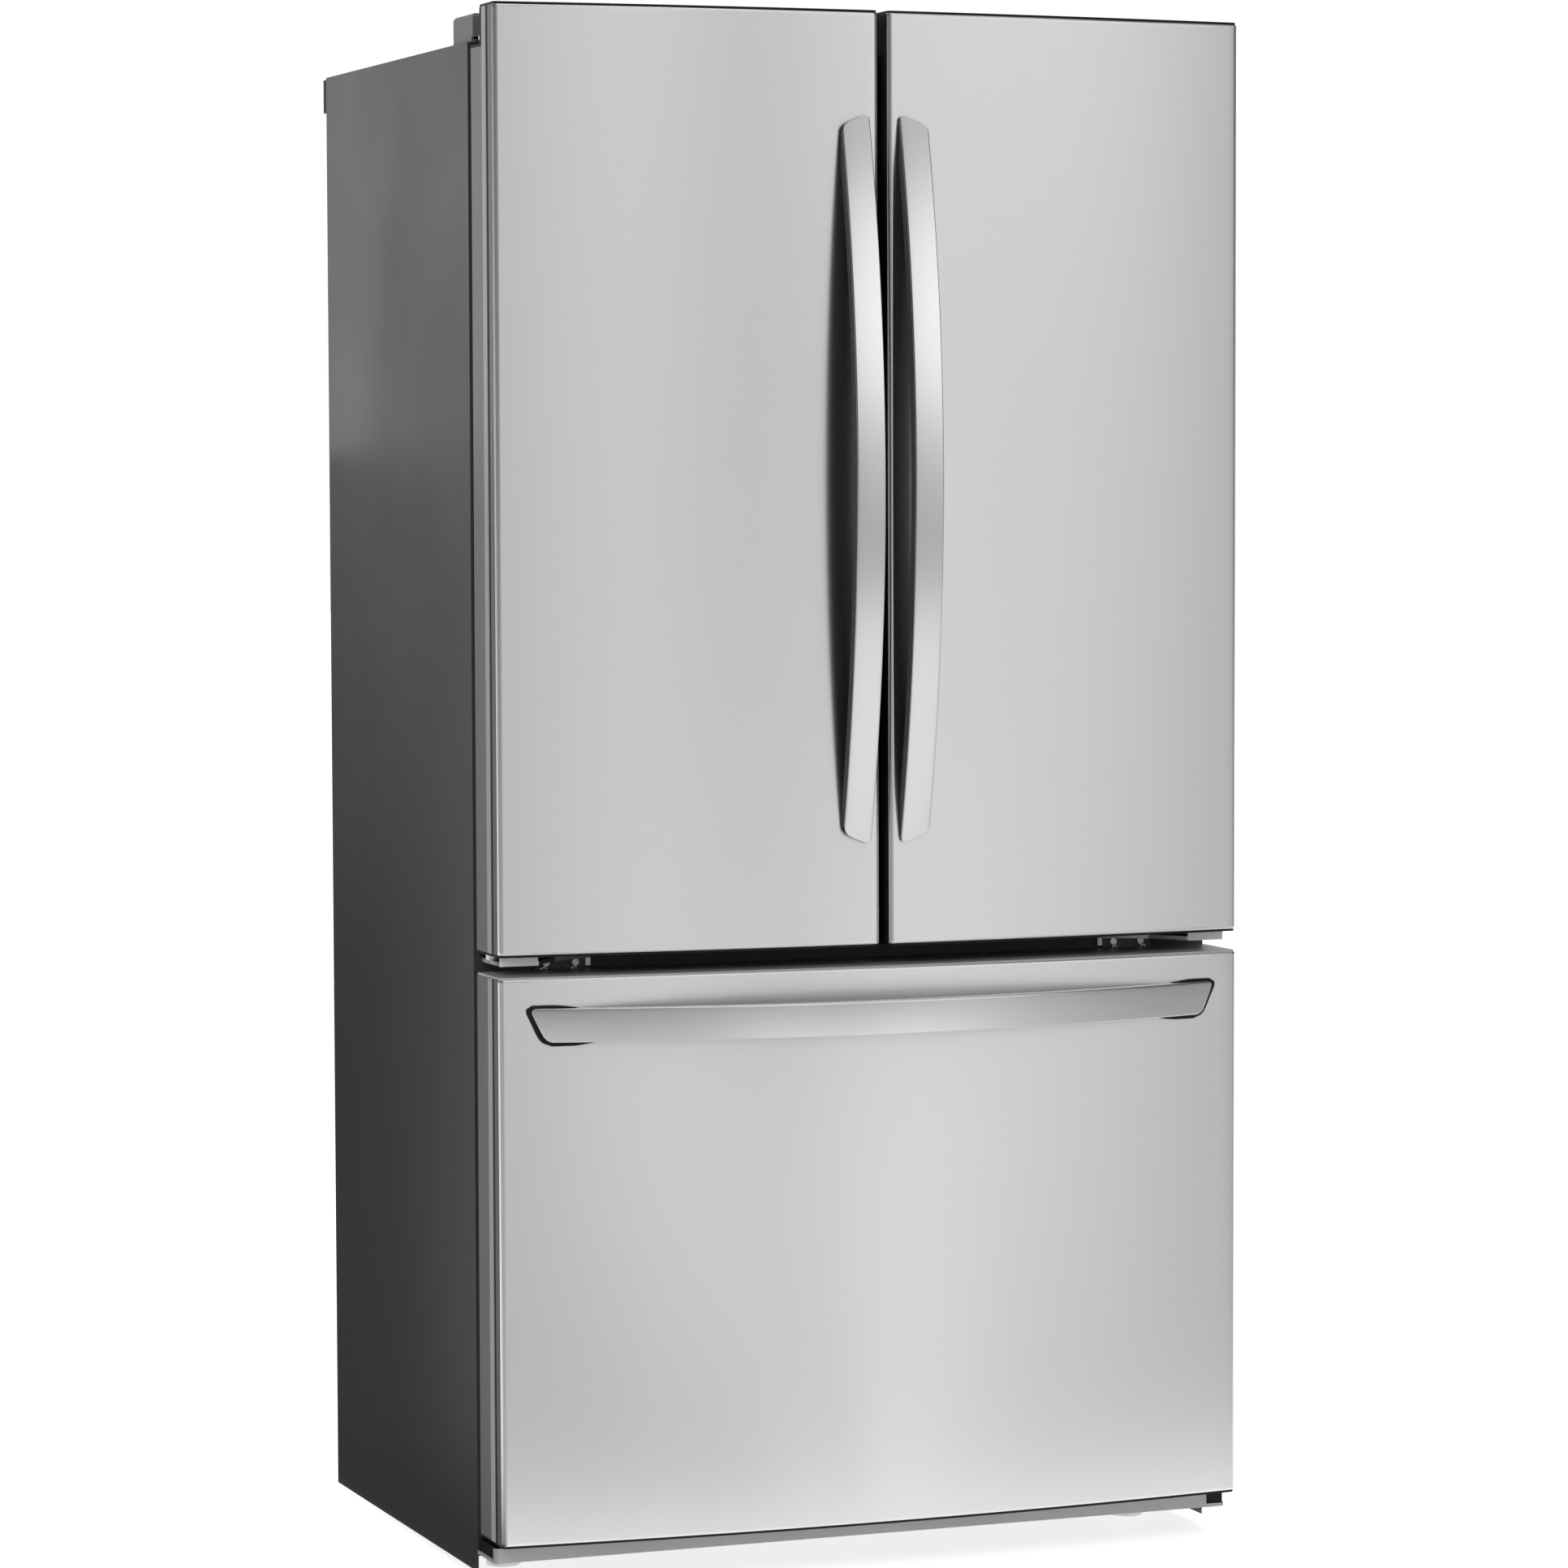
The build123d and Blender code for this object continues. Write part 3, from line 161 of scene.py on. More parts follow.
PEBBLES_PER_METRE = 420.0
case_paint = Finish("case_paint", Metallic=0.0, Roughness=0.42, Specular_IOR_Level=0.5)
wide = case_paint.noise(1.6, detail=2.0)
case_paint.feed("Base Color", case_paint.blend(case_paint.ramp(wide, 0.35, 0.65),
                                               (0.0347, 0.0313, 0.0330, 1.0),
                                               (0.0384, 0.0350, 0.0367, 1.0)))
case_paint.feed("Roughness", case_paint.ramp(case_paint.noise(3.0), 0.3, 0.7, 0.38, 0.48))
pebble = case_paint.node("TexVoronoi", {"feature": "SMOOTH_F1"},
                         {"Vector": case_paint.place(), "Scale": PEBBLES_PER_METRE, "Smoothness": 0.6})
case_paint.bump(pebble, 0.16, 0.0004)
case_paint.cover("left_side_panel", "right_side_panel", "top_and_back_panels", "chassis")

# --- Foam and gaskets ---------------------------------------------------------------------------
# Urethane foam is blown into the case, the doors and the drawer front, and joins their skins to
# their liners. A black rubber gasket with a magnet in it is pushed into a slot round each liner.

foam = Finish("urethane_foam", Metallic=0.0, Roughness=0.9)
foam.feed("Base Color", foam.blend(foam.noise(60.0), (0.72, 0.60, 0.32, 1), (0.85, 0.74, 0.45, 1)))
foam.bump(foam.noise(300.0), 0.4, 0.001)
foam.cover("cabinet_foam", "left_door_foam", "right_door_foam", "drawer_foam")

rubber = Finish("gasket_rubber", Metallic=0.0, Roughness=0.6)
rubber.feed("Base Color", rubber.blend(rubber.noise(30.0), grey(0.012), grey(0.022)))
rubber.bump(rubber.noise(500.0), 0.1, 0.0003)
rubber.cover("left_door_gasket", "right_door_gasket", "drawer_gasket")

# --- Machine compartment ------------------------------------------------------------------------
# A black-enamelled compressor, and aluminium coils with thin fins.

enamel = Finish("black_enamel", Metallic=0.0, Roughness=0.3)
enamel.feed("Base Color", enamel.blend(enamel.noise(15.0), grey(0.008), grey(0.02)))
enamel.bump(enamel.noise(300.0), 0.1, 0.0005)
enamel.cover("compressor")

coil = Finish("coil_metal", Metallic=1.0, Roughness=0.4)
coil.feed("Base Color", coil.blend(coil.noise(90.0), grey(0.6), grey(0.75)))
coil.cover("condenser", "evaporator")

# --- Rear cover, spacers and grommet ------------------------------------------------------------
# The machine compartment is closed by a thin galvanised sheet with punched slots, fixed with
# small screws. Black plastic spacers keep the case off the wall.

galvanised = Finish("galvanised_sheet", Metallic=0.9, Roughness=0.45)
spangle = galvanised.node("TexVoronoi", {"feature": "F1"}, {"Vector": galvanised.place(), "Scale": 60.0},
                          output="Color")
tone = galvanised.node("SeparateXYZ", sockets={0: spangle})
galvanised.feed("Base Color", galvanised.blend(tone, grey(0.42), grey(0.56, -0.01)))
galvanised.feed("Roughness", galvanised.ramp(tone, 0.0, 1.0, 0.36, 0.52))
galvanised.cover("rear_cover")

black_plastic = Finish("black_plastic", Metallic=0.0, Roughness=0.5, Specular_IOR_Level=0.1)
black_plastic.feed("Base Color", black_plastic.blend(black_plastic.noise(40.0), grey(0.010), grey(0.022)))
black_plastic.bump(black_plastic.noise(900.0), 0.12, 0.0003)
black_plastic.cover("rear_spacers", "cord_gland", "kick_ends", "fan_shroud", "condenser_fan")

# --- Inside -------------------------------------------------------------------------------------
# Vacuum-formed white liners, glass shelves in white trims, clear bins and crispers, and a lamp
# in the ceiling.

liner_white = Finish("white_liner", Metallic=0.0, Roughness=0.25)
liner_white.feed("Base Color", liner_white.blend(liner_white.noise(6.0), grey(0.80), grey(0.84)))
liner_white.cover("fridge_liner", "freezer_liner", "left_door_liner", "right_door_liner", "drawer_liner")

white_plastic = Finish("white_plastic", Metallic=0.0, Roughness=0.4)
white_plastic.feed("Base Color", white_plastic.blend(white_plastic.noise(15.0), grey(0.74), grey(0.79)))
white_plastic.cover("shelf_trims", "air_covers", "freezer_tray", "freezer_basket", "dairy_bin",
                    "mullion_flap", "evaporator_fan")

clear = Finish("clear_plastic", Metallic=0.0, Roughness=0.08, Alpha=0.35)
clear.feed("Base Color", clear.blend(clear.noise(10.0), (0.80, 0.88, 0.92, 1), (0.86, 0.92, 0.95, 1)))
clear.cover("left_door_bins", "right_door_bins", "left_crisper", "right_crisper", "dairy_lid")

glass = Finish("shelf_glass", Metallic=0.0, Roughness=0.04, Alpha=0.3)
glass.feed("Base Color", glass.blend(glass.noise(4.0), (0.70, 0.86, 0.80, 1), (0.76, 0.90, 0.85, 1)))
glass.cover("shelf_glass")

lamp = Finish("lamp_lens", Metallic=0.0, Roughness=0.3)
lamp.feed("Base Color", lamp.blend(lamp.noise(80.0), grey(0.85), grey(0.92)))
lamp.cover("ceiling_light")

# --- Steel fronts -------------------------------------------------------------------------------
# Each door and the drawer is faced with one sheet of satin stainless steel, all on one shared
# curve. It is rolled over a large radius at its sides and a small one along its top and bottom.


def brushed_steel(name, level, roughness, spread):
    """Stainless steel with a fine level grain, which draws its reflections out upright."""
    finish = Finish(name, Metallic=1.0, Anisotropic=spread, Anisotropic_Rotation=0.25)
    cloud = finish.noise(2.2, stretch=(1, 1, 0.25), detail=2.0)
    grain = finish.noise(900.0, stretch=(0.012, 0.012, 1), detail=3.0, roughness=0.6)
    finish.feed("Base Color", finish.blend(finish.ramp(cloud + grain * 0.15, 0.35, 0.75),
                                           (level * 0.98, level * 0.955, level * 0.965, 1.0),
                                           (level * 1.03, level * 1.01, level * 1.02, 1.0)))
    finish.feed("Roughness", finish.ramp(cloud + grain * 0.5, 0.4, 1.0,
                                         roughness - 0.02, roughness + 0.02))
    finish.bump(grain, 0.015, 0.0001)
    return finish


stainless = brushed_steel("satin_stainless", 0.79, 0.25, 0.88)

drawer_low, drawer_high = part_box("drawer_skin")
half_width = drawer_high.x
crown = drawer_low.y
SIDES_REACH_BACK = 0.026
front_plane = drawer_high.y - SIDES_REACH_BACK
rise = front_plane - crown
front_radius = (half_width ** 2 + rise ** 2) / (2 * rise)
# The sheet's thickness, the radius of its sides and the angle where they start, the radius of its
# top and bottom with the hem behind, and how much of each end cap it leaves in sight.
SHEET = 0.0008
CORNER = 0.0065
CORNER_START = 12.0
CORNER_STEPS = 12
FRONT_STEPS = 60
ROLL = 0.0028
ROLL_STEPS = 6
HEM = 0.012
CAP_SHOWS = 0.0012


def front_y(x):
    """Y of the shared curved front at x."""
    return crown + front_radius - math.sqrt(front_radius ** 2 - x * x)


def rounded_path(x_low, x_high):
    """Points and outward directions round a front, from one rounded corner to the other."""
    centre_y = crown + front_radius
    sides = []
    for side, x in ((-1, x_low), (1, x_high)):
        middle_x = x - side * CORNER
        middle_y = centre_y - math.sqrt((front_radius - CORNER) ** 2 - middle_x ** 2)
        tangent = math.degrees(math.atan2(side * middle_x, centre_y - middle_y))
        stretch = []
        for step in range(CORNER_STEPS + 1):
            angle = math.radians(CORNER_START + (90 - tangent - CORNER_START) * step / CORNER_STEPS)
            across = side * math.cos(angle)
            ahead = -math.sin(angle)
            stretch.append(((middle_x + across * CORNER, middle_y + ahead * CORNER), (across, ahead)))
        sides.append(stretch)
    middle = []
    first = sides[0][-1][0][0]
    last = sides[1][-1][0][0]
    for step in range(FRONT_STEPS):
        x = first + (last - first) * (step + 0.02) / FRONT_STEPS
        direction = Vector((x, front_y(x) - centre_y)).normalized()
        middle.append(((x, front_y(x)), (direction.x, direction.y)))
    return sides[0] + middle + sides[1][::-1]


def edge_rows(z_low, z_high):
    """Insets and heights up a sheet whose upper and lower edges are rolled inwards. Rows close to
    the rolls keep the shading of the flat part even."""
    rows = [(ROLL + HEM, z_low), (ROLL + 0.0002, z_low)]
    for step in range(ROLL_STEPS + 1):
        angle = math.radians(90 * step / ROLL_STEPS)
        rows.append((ROLL * (1 - math.sin(angle)), z_low + ROLL * (1 - math.cos(angle))))
    upper = [(inset, z_low + z_high - z) for inset, z in rows]
    straight = z_high - z_low - 2 * ROLL
    lower_parts = [0.002, 0.006, 0.02, 0.05, 0.15, 0.35]
    upper_parts = [1 - part for part in lower_parts[::-1]]
    between = [(0.0, z_low + ROLL + straight * part) for part in lower_parts + upper_parts]
    return rows + between + upper[::-1]


def add_mesh(name, points, faces, body, finish):
    """Makes a smooth mesh piece that rides on a CAD body."""
    mesh = bpy.data.meshes.new(name)
    mesh.from_pydata([tuple(point) for point in points], [], faces)
    tidy = bmesh.new()
    tidy.from_mesh(mesh)
    bmesh.ops.remove_doubles(tidy, verts=tidy.verts, dist=1e-6)
    bmesh.ops.recalc_face_normals(tidy, faces=tidy.faces)
    tidy.to_mesh(mesh)
    tidy.free()
    piece = bpy.data.objects.new(name, mesh)
    bpy.context.scene.collection.objects.link(piece)
    mesh.materials.append(finish.material)
    mesh.shade_smooth()
    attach(piece, body)
    return piece


def loft(name, rings, body, finish, closed=False):
    """A skin through rings of points. A closed one joins each ring end to end and caps the ends."""
    size = len(rings[0])
    points = [point for ring in rings for point in ring]
    faces = []
    for row in range(len(rings) - 1):
        for column in range(size if closed else size - 1):
            after = (column + 1) % size
            faces.append((row * size + column, row * size + after,
                          (row + 1) * size + after, (row + 1) * size + column))
    if closed:
        faces.append(tuple(range(size)))
        faces.append(tuple(range(len(points) - size, len(points))))
    return add_mesh(name, points, faces, body, finish)


def steel_front(name, node, body):
    """The rolled stainless sheet of one door or drawer front."""
    low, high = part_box(node)
    path = rounded_path(low.x, high.x)
    rings = [[(x - dx * inset, y - dy * inset, z) for (x, y), (dx, dy) in path]
             for inset, z in edge_rows(low.z + CAP_SHOWS, high.z - CAP_SHOWS)]
    piece = loft(name, rings, body, stainless)
    sheet = piece.modifiers.new("sheet_thickness", "SOLIDIFY")
    sheet.thickness = SHEET
    sheet.offset = -1.0
    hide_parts(node)


steel_front("left_door_front", "left_door_skin", "left_door")
steel_front("right_door_front", "right_door_skin", "right_door")
steel_front("drawer_front", "drawer_skin", "freezer_drawer")

# --- Edges and end caps of the fronts -----------------------------------------------------------
# Behind the steel, each side has the sheet's folded edge, a black groove, a bright trim strip and
# a painted strip. Moulded caps close the top and bottom and form a pocket for the top hinge.


def painted_strip(name, level):
    """Semi-gloss paint or moulded grey plastic with a faint unevenness."""
    finish = Finish(name, Metallic=0.0, Roughness=0.4)
    finish.feed("Base Color", finish.blend(finish.noise(8.0), grey(level * 0.93, 0.03),
                                           grey(level * 1.07, 0.03)))
    finish.bump(finish.noise(700.0), 0.08, 0.0003)
    return finish


side_paint = painted_strip("door_side_paint", 0.13)
trim_paint = painted_strip("door_trim_paint", 0.34)
# Painted shade: the sheet's folded steel edge is drawn in flat dark grey, standing in for its dark
# reflection.
fold_painted_shade = painted_strip("folded_edge_painted_shade", 0.10)
cap_grey = painted_strip("drawer_cap_grey", 0.42)

CAP = 0.003
FOAM_TO_FRAME_REAR = 0.003
door_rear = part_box("left_door_foam")[1].y + FOAM_TO_FRAME_REAR
# Each strip ends this far behind the front plane, and lies between its inset and its depth from
# the side of the door.
FOLD_END, FOLD_DEPTH = 0.0185, 0.003
GROOVE_END, GROOVE_INSET, GROOVE_DEPTH = 0.0270, 0.0009, 0.010
TRIM_END, TRIM_DEPTH = 0.0410, 0.008
SIDE_INSET, SIDE_DEPTH = 0.0007, 0.004
SHARP = math.radians(40)


def round_edges(piece, width):
    """Rounds a piece's sharp edges and keeps its flat faces flat."""
    modifier = piece.modifiers.new("rounded_edges", "BEVEL")
    modifier.width = width
    modifier.segments = 2
    modifier.limit_method = "ANGLE"
    modifier.angle_limit = SHARP
    keep = piece.modifiers.new("flat_faces", "WEIGHTED_NORMAL")
    keep.keep_sharp = True


def prism(name, outline, z_low, z_high, body, finish, edge=0.0004):
    """An upright piece with a plan outline, its edges slightly rounded."""
    rings = [[(x, y, z) for x, y in outline] for z in (z_low, z_high)]
    piece = loft(name, rings, body, finish, closed=True)
    round_edges(piece, edge)
    return piece


def rectangle(x_low, x_high, y_low, y_high):
    return [(x_low, y_low), (x_high, y_low), (x_high, y_high), (x_low, y_high)]


def curved_outline(x_low, x_high, y_rear, inset):
    """Plan outline of a front, a little inside its steel, with rounded front corners."""
    path = rounded_path(x_low, x_high)
    front = [(x - dx * inset, y - dy * inset) for (x, y), (dx, dy) in path]
    return [(x_low + inset, y_rear)] + front + [(x_high - inset, y_rear)]


def side_strips(name, body, x_low, x_high, z_low, z_high, side_high, black_side=0):
    """Folded edge, groove, trim and painted strip down both sides of a front. On black_side, where
    two doors face each other, they are all black. The painted strip stops at side_high."""
    pieces = []
    fold_rear = front_plane + FOLD_END
    groove_rear = front_plane + GROOVE_END
    trim_rear = front_plane + TRIM_END
    for side, x, label in ((-1, x_low, "left"), (1, x_high, "right")):
        fold_front = front_y(x) + CORNER * 0.75
        strips = [("fold", 0.0, FOLD_DEPTH, fold_front, fold_rear, z_high, fold_painted_shade, "stainless"),
                  ("groove", GROOVE_INSET, GROOVE_DEPTH, fold_rear - 0.001, groove_rear, z_high,
                   black_plastic, "black_plastic"),
                  ("trim", 0.0, TRIM_DEPTH, groove_rear, trim_rear, z_high, trim_paint, "door_edge"),
                  ("side", SIDE_INSET, SIDE_DEPTH, trim_rear, door_rear - 0.0005, side_high,
                   side_paint, "door_edge")]
        for part, inset, depth, y_front, y_rear, top, finish, slot in strips:
            if side == black_side:
                finish = black_plastic
            edges = sorted((x - side * inset, x - side * depth))
            outline = rectangle(edges[0], edges[1], y_front, y_rear)
            piece = prism(f"{name}_{label}_{part}", outline, z_low, top, body, finish)
            "black_plastic" if side == black_side else slot
            pieces.append(piece)
    return pieces


def end_cap(name, body, x_low, x_high, y_rear, z_low, z_high, finish):
    """Moulded cap across the end of a front."""
    cap = prism(name, curved_outline(x_low, x_high, y_rear, ROLL / 2), z_low, z_high, body, finish)
    return cap


POCKET_LIP = 0.033
POCKET_EDGE = 0.001
WALL_INSET = 0.0005
pocket_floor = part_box("left_door_liner")[1].z + CAP
lip_rear = door_rear - POCKET_LIP
for side, inner in (("left", 1), ("right", -1)):
    low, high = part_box(side + "_door_skin")
    body = side + "_door"
    frame_low, frame_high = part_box(side + "_door_frame")
    strips = side_strips(body + "_edge", body, low.x, high.x, frame_low.z + CAP, frame_high.z - CAP,
                         pocket_floor - CAP, inner)
    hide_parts(side + "_door_frame")
    end_cap(body + "_top_cap", body, low.x, high.x, lip_rear, frame_high.z - CAP, frame_high.z,
            black_plastic)
    end_cap(body + "_bottom_cap", body, low.x, high.x, door_rear - 0.001, frame_low.z,
            frame_low.z + CAP, black_plastic)
    back = rectangle(low.x + WALL_INSET, high.x - WALL_INSET, front_plane + TRIM_END, lip_rear)
    riser = prism(body + "_hinge_pocket_wall", back, pocket_floor - CAP, frame_high.z - CAP + 0.0002,
                  body, black_plastic, POCKET_EDGE)
    base = rectangle(low.x + WALL_INSET, high.x - WALL_INSET, lip_rear, door_rear)
    floor_cap = prism(body + "_hinge_pocket_floor", base, pocket_floor - CAP, pocket_floor, body,
                      black_plastic, POCKET_EDGE)

drawer_frame_low, drawer_frame_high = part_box("drawer_frame")
strips = side_strips("drawer_edge", "freezer_drawer", drawer_low.x, drawer_high.x,
                     drawer_frame_low.z + CAP, drawer_frame_high.z - CAP, drawer_frame_high.z - CAP)
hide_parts("drawer_frame")
end_cap("drawer_top_cap", "freezer_drawer", drawer_low.x, drawer_high.x, door_rear - 0.001,
        drawer_frame_high.z - CAP, drawer_frame_high.z - 0.0002, cap_grey)
end_cap("drawer_bottom_cap", "freezer_drawer", drawer_low.x, drawer_high.x, door_rear - 0.001,
        drawer_frame_low.z, drawer_frame_low.z + CAP, black_plastic)

# --- Handles ------------------------------------------------------------------------------------
# Long bowed bars of satin stainless pressed over a dark grey moulded backing. Their slanted ends
# come down onto the front and are screwed on from inside.

handle_steel = brushed_steel("handle_stainless", 0.78, 0.2, 0.0)
backing_grey = painted_strip("handle_backing_grey", 0.035)
# Depths are measured from the front of the CAD bar. The bar's ends stand END_RISE off the front.
BACKING_DEPTH = 0.016
BACKING_INSET = 0.0004
BACKING_BEHIND = 0.0026
FACE_BEHIND = 0.0004
SHORT_EDGE_WRAP = 0.0030
FACE_CROWN = 0.0003
FACE_EDGE = 0.0011
HANDLE_CORNER = 0.008
END_RISE = 0.004
BAR_STEPS = 80


def bowed_bar(name, body, finish, place, half, width, slant, front, surface, inset, depths):
    """A bowed bar on a front. place turns (along, across, y) into a point: along runs its length,
    across its width from the long edge to the short edge. depths are how far behind the CAD face
    its own face, its long edge and its short edge lie."""
    near, far_long, far_short = depths
    low = inset
    high = width - inset
    outline = [(low, near + FACE_EDGE)]
    for step in range(1, 5):
        angle = math.radians(90 * step / 4)
        outline.append((low + FACE_EDGE * (1 - math.cos(angle)), near + FACE_EDGE * (1 - math.sin(angle))))
    across = [(low + (high - low) * part, near - FACE_CROWN * (1 - (2 * part - 1) ** 2))
              for part in (0.065, 0.15, 0.3, 0.5, 0.7, 0.85, 0.935)]
    mirror = [(low + high - u, v) for u, v in outline]
    section = [(low, far_long)] + outline + across + mirror[::-1] + [(high, far_short)]
    drop = surface(half) - END_RISE - front
    radius = (half ** 2 + drop ** 2) / (2 * drop)
    rings = []
    for step in range(BAR_STEPS + 1):
        part = -math.cos(math.pi * step / BAR_STEPS)
        ring = []
        for u, v in section:
            nip = max(0.0, HANDLE_CORNER - min(u - low, high - u))
            rounding = HANDLE_CORNER - math.sqrt(max(0.0, HANDLE_CORNER ** 2 - nip ** 2))
            along = part * (half - inset - slant * u / width - rounding)
            y = front + radius - math.sqrt((radius - v) ** 2 - along ** 2)
            ring.append(place(along, u, min(y, surface(along) + 0.0005)))
        rings.append(ring)
    return loft(name, rings, body, finish, closed=True)


def handle_pieces(name, node, body, place, half, width, slant, front, surface, wrap):
    """Steel face and backing of one handle. wrap is how far back the steel covers the long edge."""
    face = bowed_bar(name + "_face", body, handle_steel, place, half, width, slant, front, surface,
                     0.0, (FACE_BEHIND, wrap, SHORT_EDGE_WRAP))
    backing = bowed_bar(name + "_backing", body, backing_grey, place, half, width, slant, front, surface,
                        BACKING_INSET, (BACKING_BEHIND, BACKING_DEPTH, BACKING_DEPTH))
    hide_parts(node)


DOOR_SLANT = 0.0135
DOOR_WRAP = 0.0030


def door_handle(side, node, body):
    """Upright handle. side is -1 on the left door."""
    low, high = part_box(node)
    middle = (low.z + high.z) / 2
    x_long = high.x if side < 0 else low.x
    width = high.x - low.x

    def place(along, across, y):
        return (x_long + side * across, y, middle + along)

    def surface(along):
        return front_y(x_long)

    handle_pieces(body + "_handle", node, body, place, (high.z - low.z) / 2, width, DOOR_SLANT, low.y,
                  surface, DOOR_WRAP)


door_handle(-1, "left_handle", "left_door")
door_handle(1, "right_handle", "right_door")

DRAWER_SLANT = 0.018
DRAWER_WRAP = 0.0155
grip_low, grip_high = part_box("drawer_handle")
grip_width = grip_high.z - grip_low.z


def level_place(along, across, y):
    return (along, y, grip_high.z - across)


handle_pieces("drawer_handle_bar", "drawer_handle", "freezer_drawer", level_place, grip_high.x,
              grip_width, DRAWER_SLANT, grip_low.y, front_y, DRAWER_WRAP)

# Round each end of the drawer handle a black foot shows as a rim, which narrows along the bar. The rim is
# partly the handle's real dark foot and partly painted shadow and dark reflection round its ends.
RIM = 0.0050
RIM_ABOVE = 0.0032
RIM_LENGTH = 0.095
RIM_CORNER = 0.011
RIM_NARROWS_FROM = 0.35
RIM_GOES_UNDER = 0.004
RIM_PROUD = 0.0022
RIM_DEPTH = 0.004
RIM_STEPS = 24
for side, label in ((-1, "left"), (1, "right")):
    rings = []
    for step in range(RIM_STEPS + 1):
        part = step / RIM_STEPS
        narrowing = max(0.0, (part - RIM_NARROWS_FROM) / (1 - RIM_NARROWS_FROM))
        shrink = (RIM + RIM_GOES_UNDER) * narrowing ** 1.3
        above = RIM_ABOVE - shrink
        below = RIM - shrink
        ring = []
        for across in range(13):
            u = -above + (grip_width + above + below) * across / 12
            nip = max(0.0, RIM_CORNER - min(u + above, grip_width + below - u)) * (1 - part)
            rounding = RIM_CORNER - math.sqrt(max(0.0, RIM_CORNER ** 2 - nip ** 2))
            reach = grip_high.x + RIM - DRAWER_SLANT * u / grip_width - rounding
            x = side * (reach - part * RIM_LENGTH)
            ring.append((x, front_y(x) - RIM_PROUD, grip_high.z - u))
        ring += [(x, y + RIM_DEPTH, z) for x, y, z in ring[::-1]]
        rings.append(ring)
    rim = loft("drawer_handle_foot_" + label, rings, "freezer_drawer", black_plastic, closed=True)

# --- Hinges -------------------------------------------------------------------------------------
# Zinc-plated steel plates, screwed to the case top and to the rail between door and drawer. In the
# gap below each door show the centre hinge's bright lip and its grey tab with two screws. A moulded
# grey cover clips over each top hinge.

zinc = Finish("zinc_plate", Metallic=1.0, Roughness=0.3)
cloud = zinc.noise(50.0, detail=3.0)
zinc.feed("Base Color", zinc.blend(cloud, grey(0.62), grey(0.74, 0.01)))
zinc.feed("Roughness", zinc.ramp(cloud, 0.3, 0.7, 0.24, 0.4))
zinc.cover("hinges", "shelf_supports", "cabinet_rails", "middle_rails", "drawer_rails",
           "underbody_brackets", "left_leg", "right_leg")


def soften(name, width):
    """Rounds the sharp edges of a CAD node."""
    nodes[name].data.shade_smooth()
    round_edges(nodes[name], width)


soften("hinges", 0.0006)

bright_zinc = Finish("bright_zinc_edge", Metallic=0.0, Roughness=0.35)
bright_zinc.feed("Base Color", bright_zinc.blend(bright_zinc.noise(60.0), grey(0.86), grey(0.94)))
tab_grey = painted_strip("hinge_tab_grey", 0.13)
LIP_FROM_SIDE, LIP_LENGTH = 0.008, 0.045
LIP_LOW, LIP_HIGH = 0.0115, 0.0215
LIP_THICKNESS, LIP_PROUD = 0.0018, 0.00165
TAB_FROM_SIDE, TAB_LENGTH = 0.071, 0.061
TAB_BELOW, TAB_ABOVE = 0.0060, 0.0155
TAB_THICKNESS = 0.0042
SCREWS_FROM_SIDE = (0.081, 0.117)
SCREW_BELOW = 0.0005
SCREW_PROFILE = ((0.0052, 0.0), (0.0052, 0.0012), (0.0040, 0.0024), (0.0018, 0.0027), (0.0015, 0.0017))
SCREW_SIDES = 20
tab_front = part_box("chassis")[0].y - TAB_THICKNESS
lip_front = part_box("hinges")[0].y - LIP_PROUD
for side, label in ((-1, "left"), (1, "right")):
    outer = half_width - LIP_FROM_SIDE
    edges = sorted((side * outer, side * (outer - LIP_LENGTH)))
    lip = prism("centre_hinge_lip_" + label, rectangle(*edges, lip_front, lip_front + LIP_THICKNESS),
                drawer_high.z + LIP_LOW, drawer_high.z + LIP_HIGH, "cabinet", bright_zinc, 0.0005)
    outer = half_width - TAB_FROM_SIDE
    edges = sorted((side * outer, side * (outer - TAB_LENGTH)))
    tab = prism("centre_hinge_tab_" + label, rectangle(*edges, tab_front, tab_front + TAB_THICKNESS),
                drawer_high.z - TAB_BELOW, drawer_high.z + TAB_ABOVE, "cabinet", tab_grey, 0.0008)
    for inset in SCREWS_FROM_SIDE:
        offset = half_width - inset
        rings = []
        for radius, lift in SCREW_PROFILE:
            ring = []
            for step in range(SCREW_SIDES):
                angle = math.tau * step / SCREW_SIDES
                ring.append((side * offset + radius * math.cos(angle), tab_front - lift,
                             drawer_high.z - SCREW_BELOW + radius * math.sin(angle)))
            rings.append(ring)
        screw_name = f"centre_hinge_screw_{label}_{round(offset * 1000)}"
        screw = loft(screw_name, rings, "cabinet", zinc, closed=True)

grey_plastic = Finish("grey_plastic", Metallic=0.0, Roughness=0.45)
grey_plastic.feed("Base Color", grey_plastic.blend(grey_plastic.noise(20.0), grey(0.11), grey(0.135)))
grey_plastic.bump(grey_plastic.noise(800.0), 0.1, 0.0003)
grey_plastic.cover("hinge_covers", "left_roller", "right_roller")

# --- Toe plate ----------------------------------------------------------------------------------
# A silver-painted steel plate below the drawer, clipped to the base, with black blocks at its ends.

kick_paint = Finish("toe_plate_paint", Metallic=0.3, Roughness=0.45)
kick_paint.feed("Base Color", kick_paint.blend(kick_paint.noise(12.0), grey(0.36), grey(0.42)))
kick_paint.cover("kick_plate")
soften("kick_plate", 0.0008)
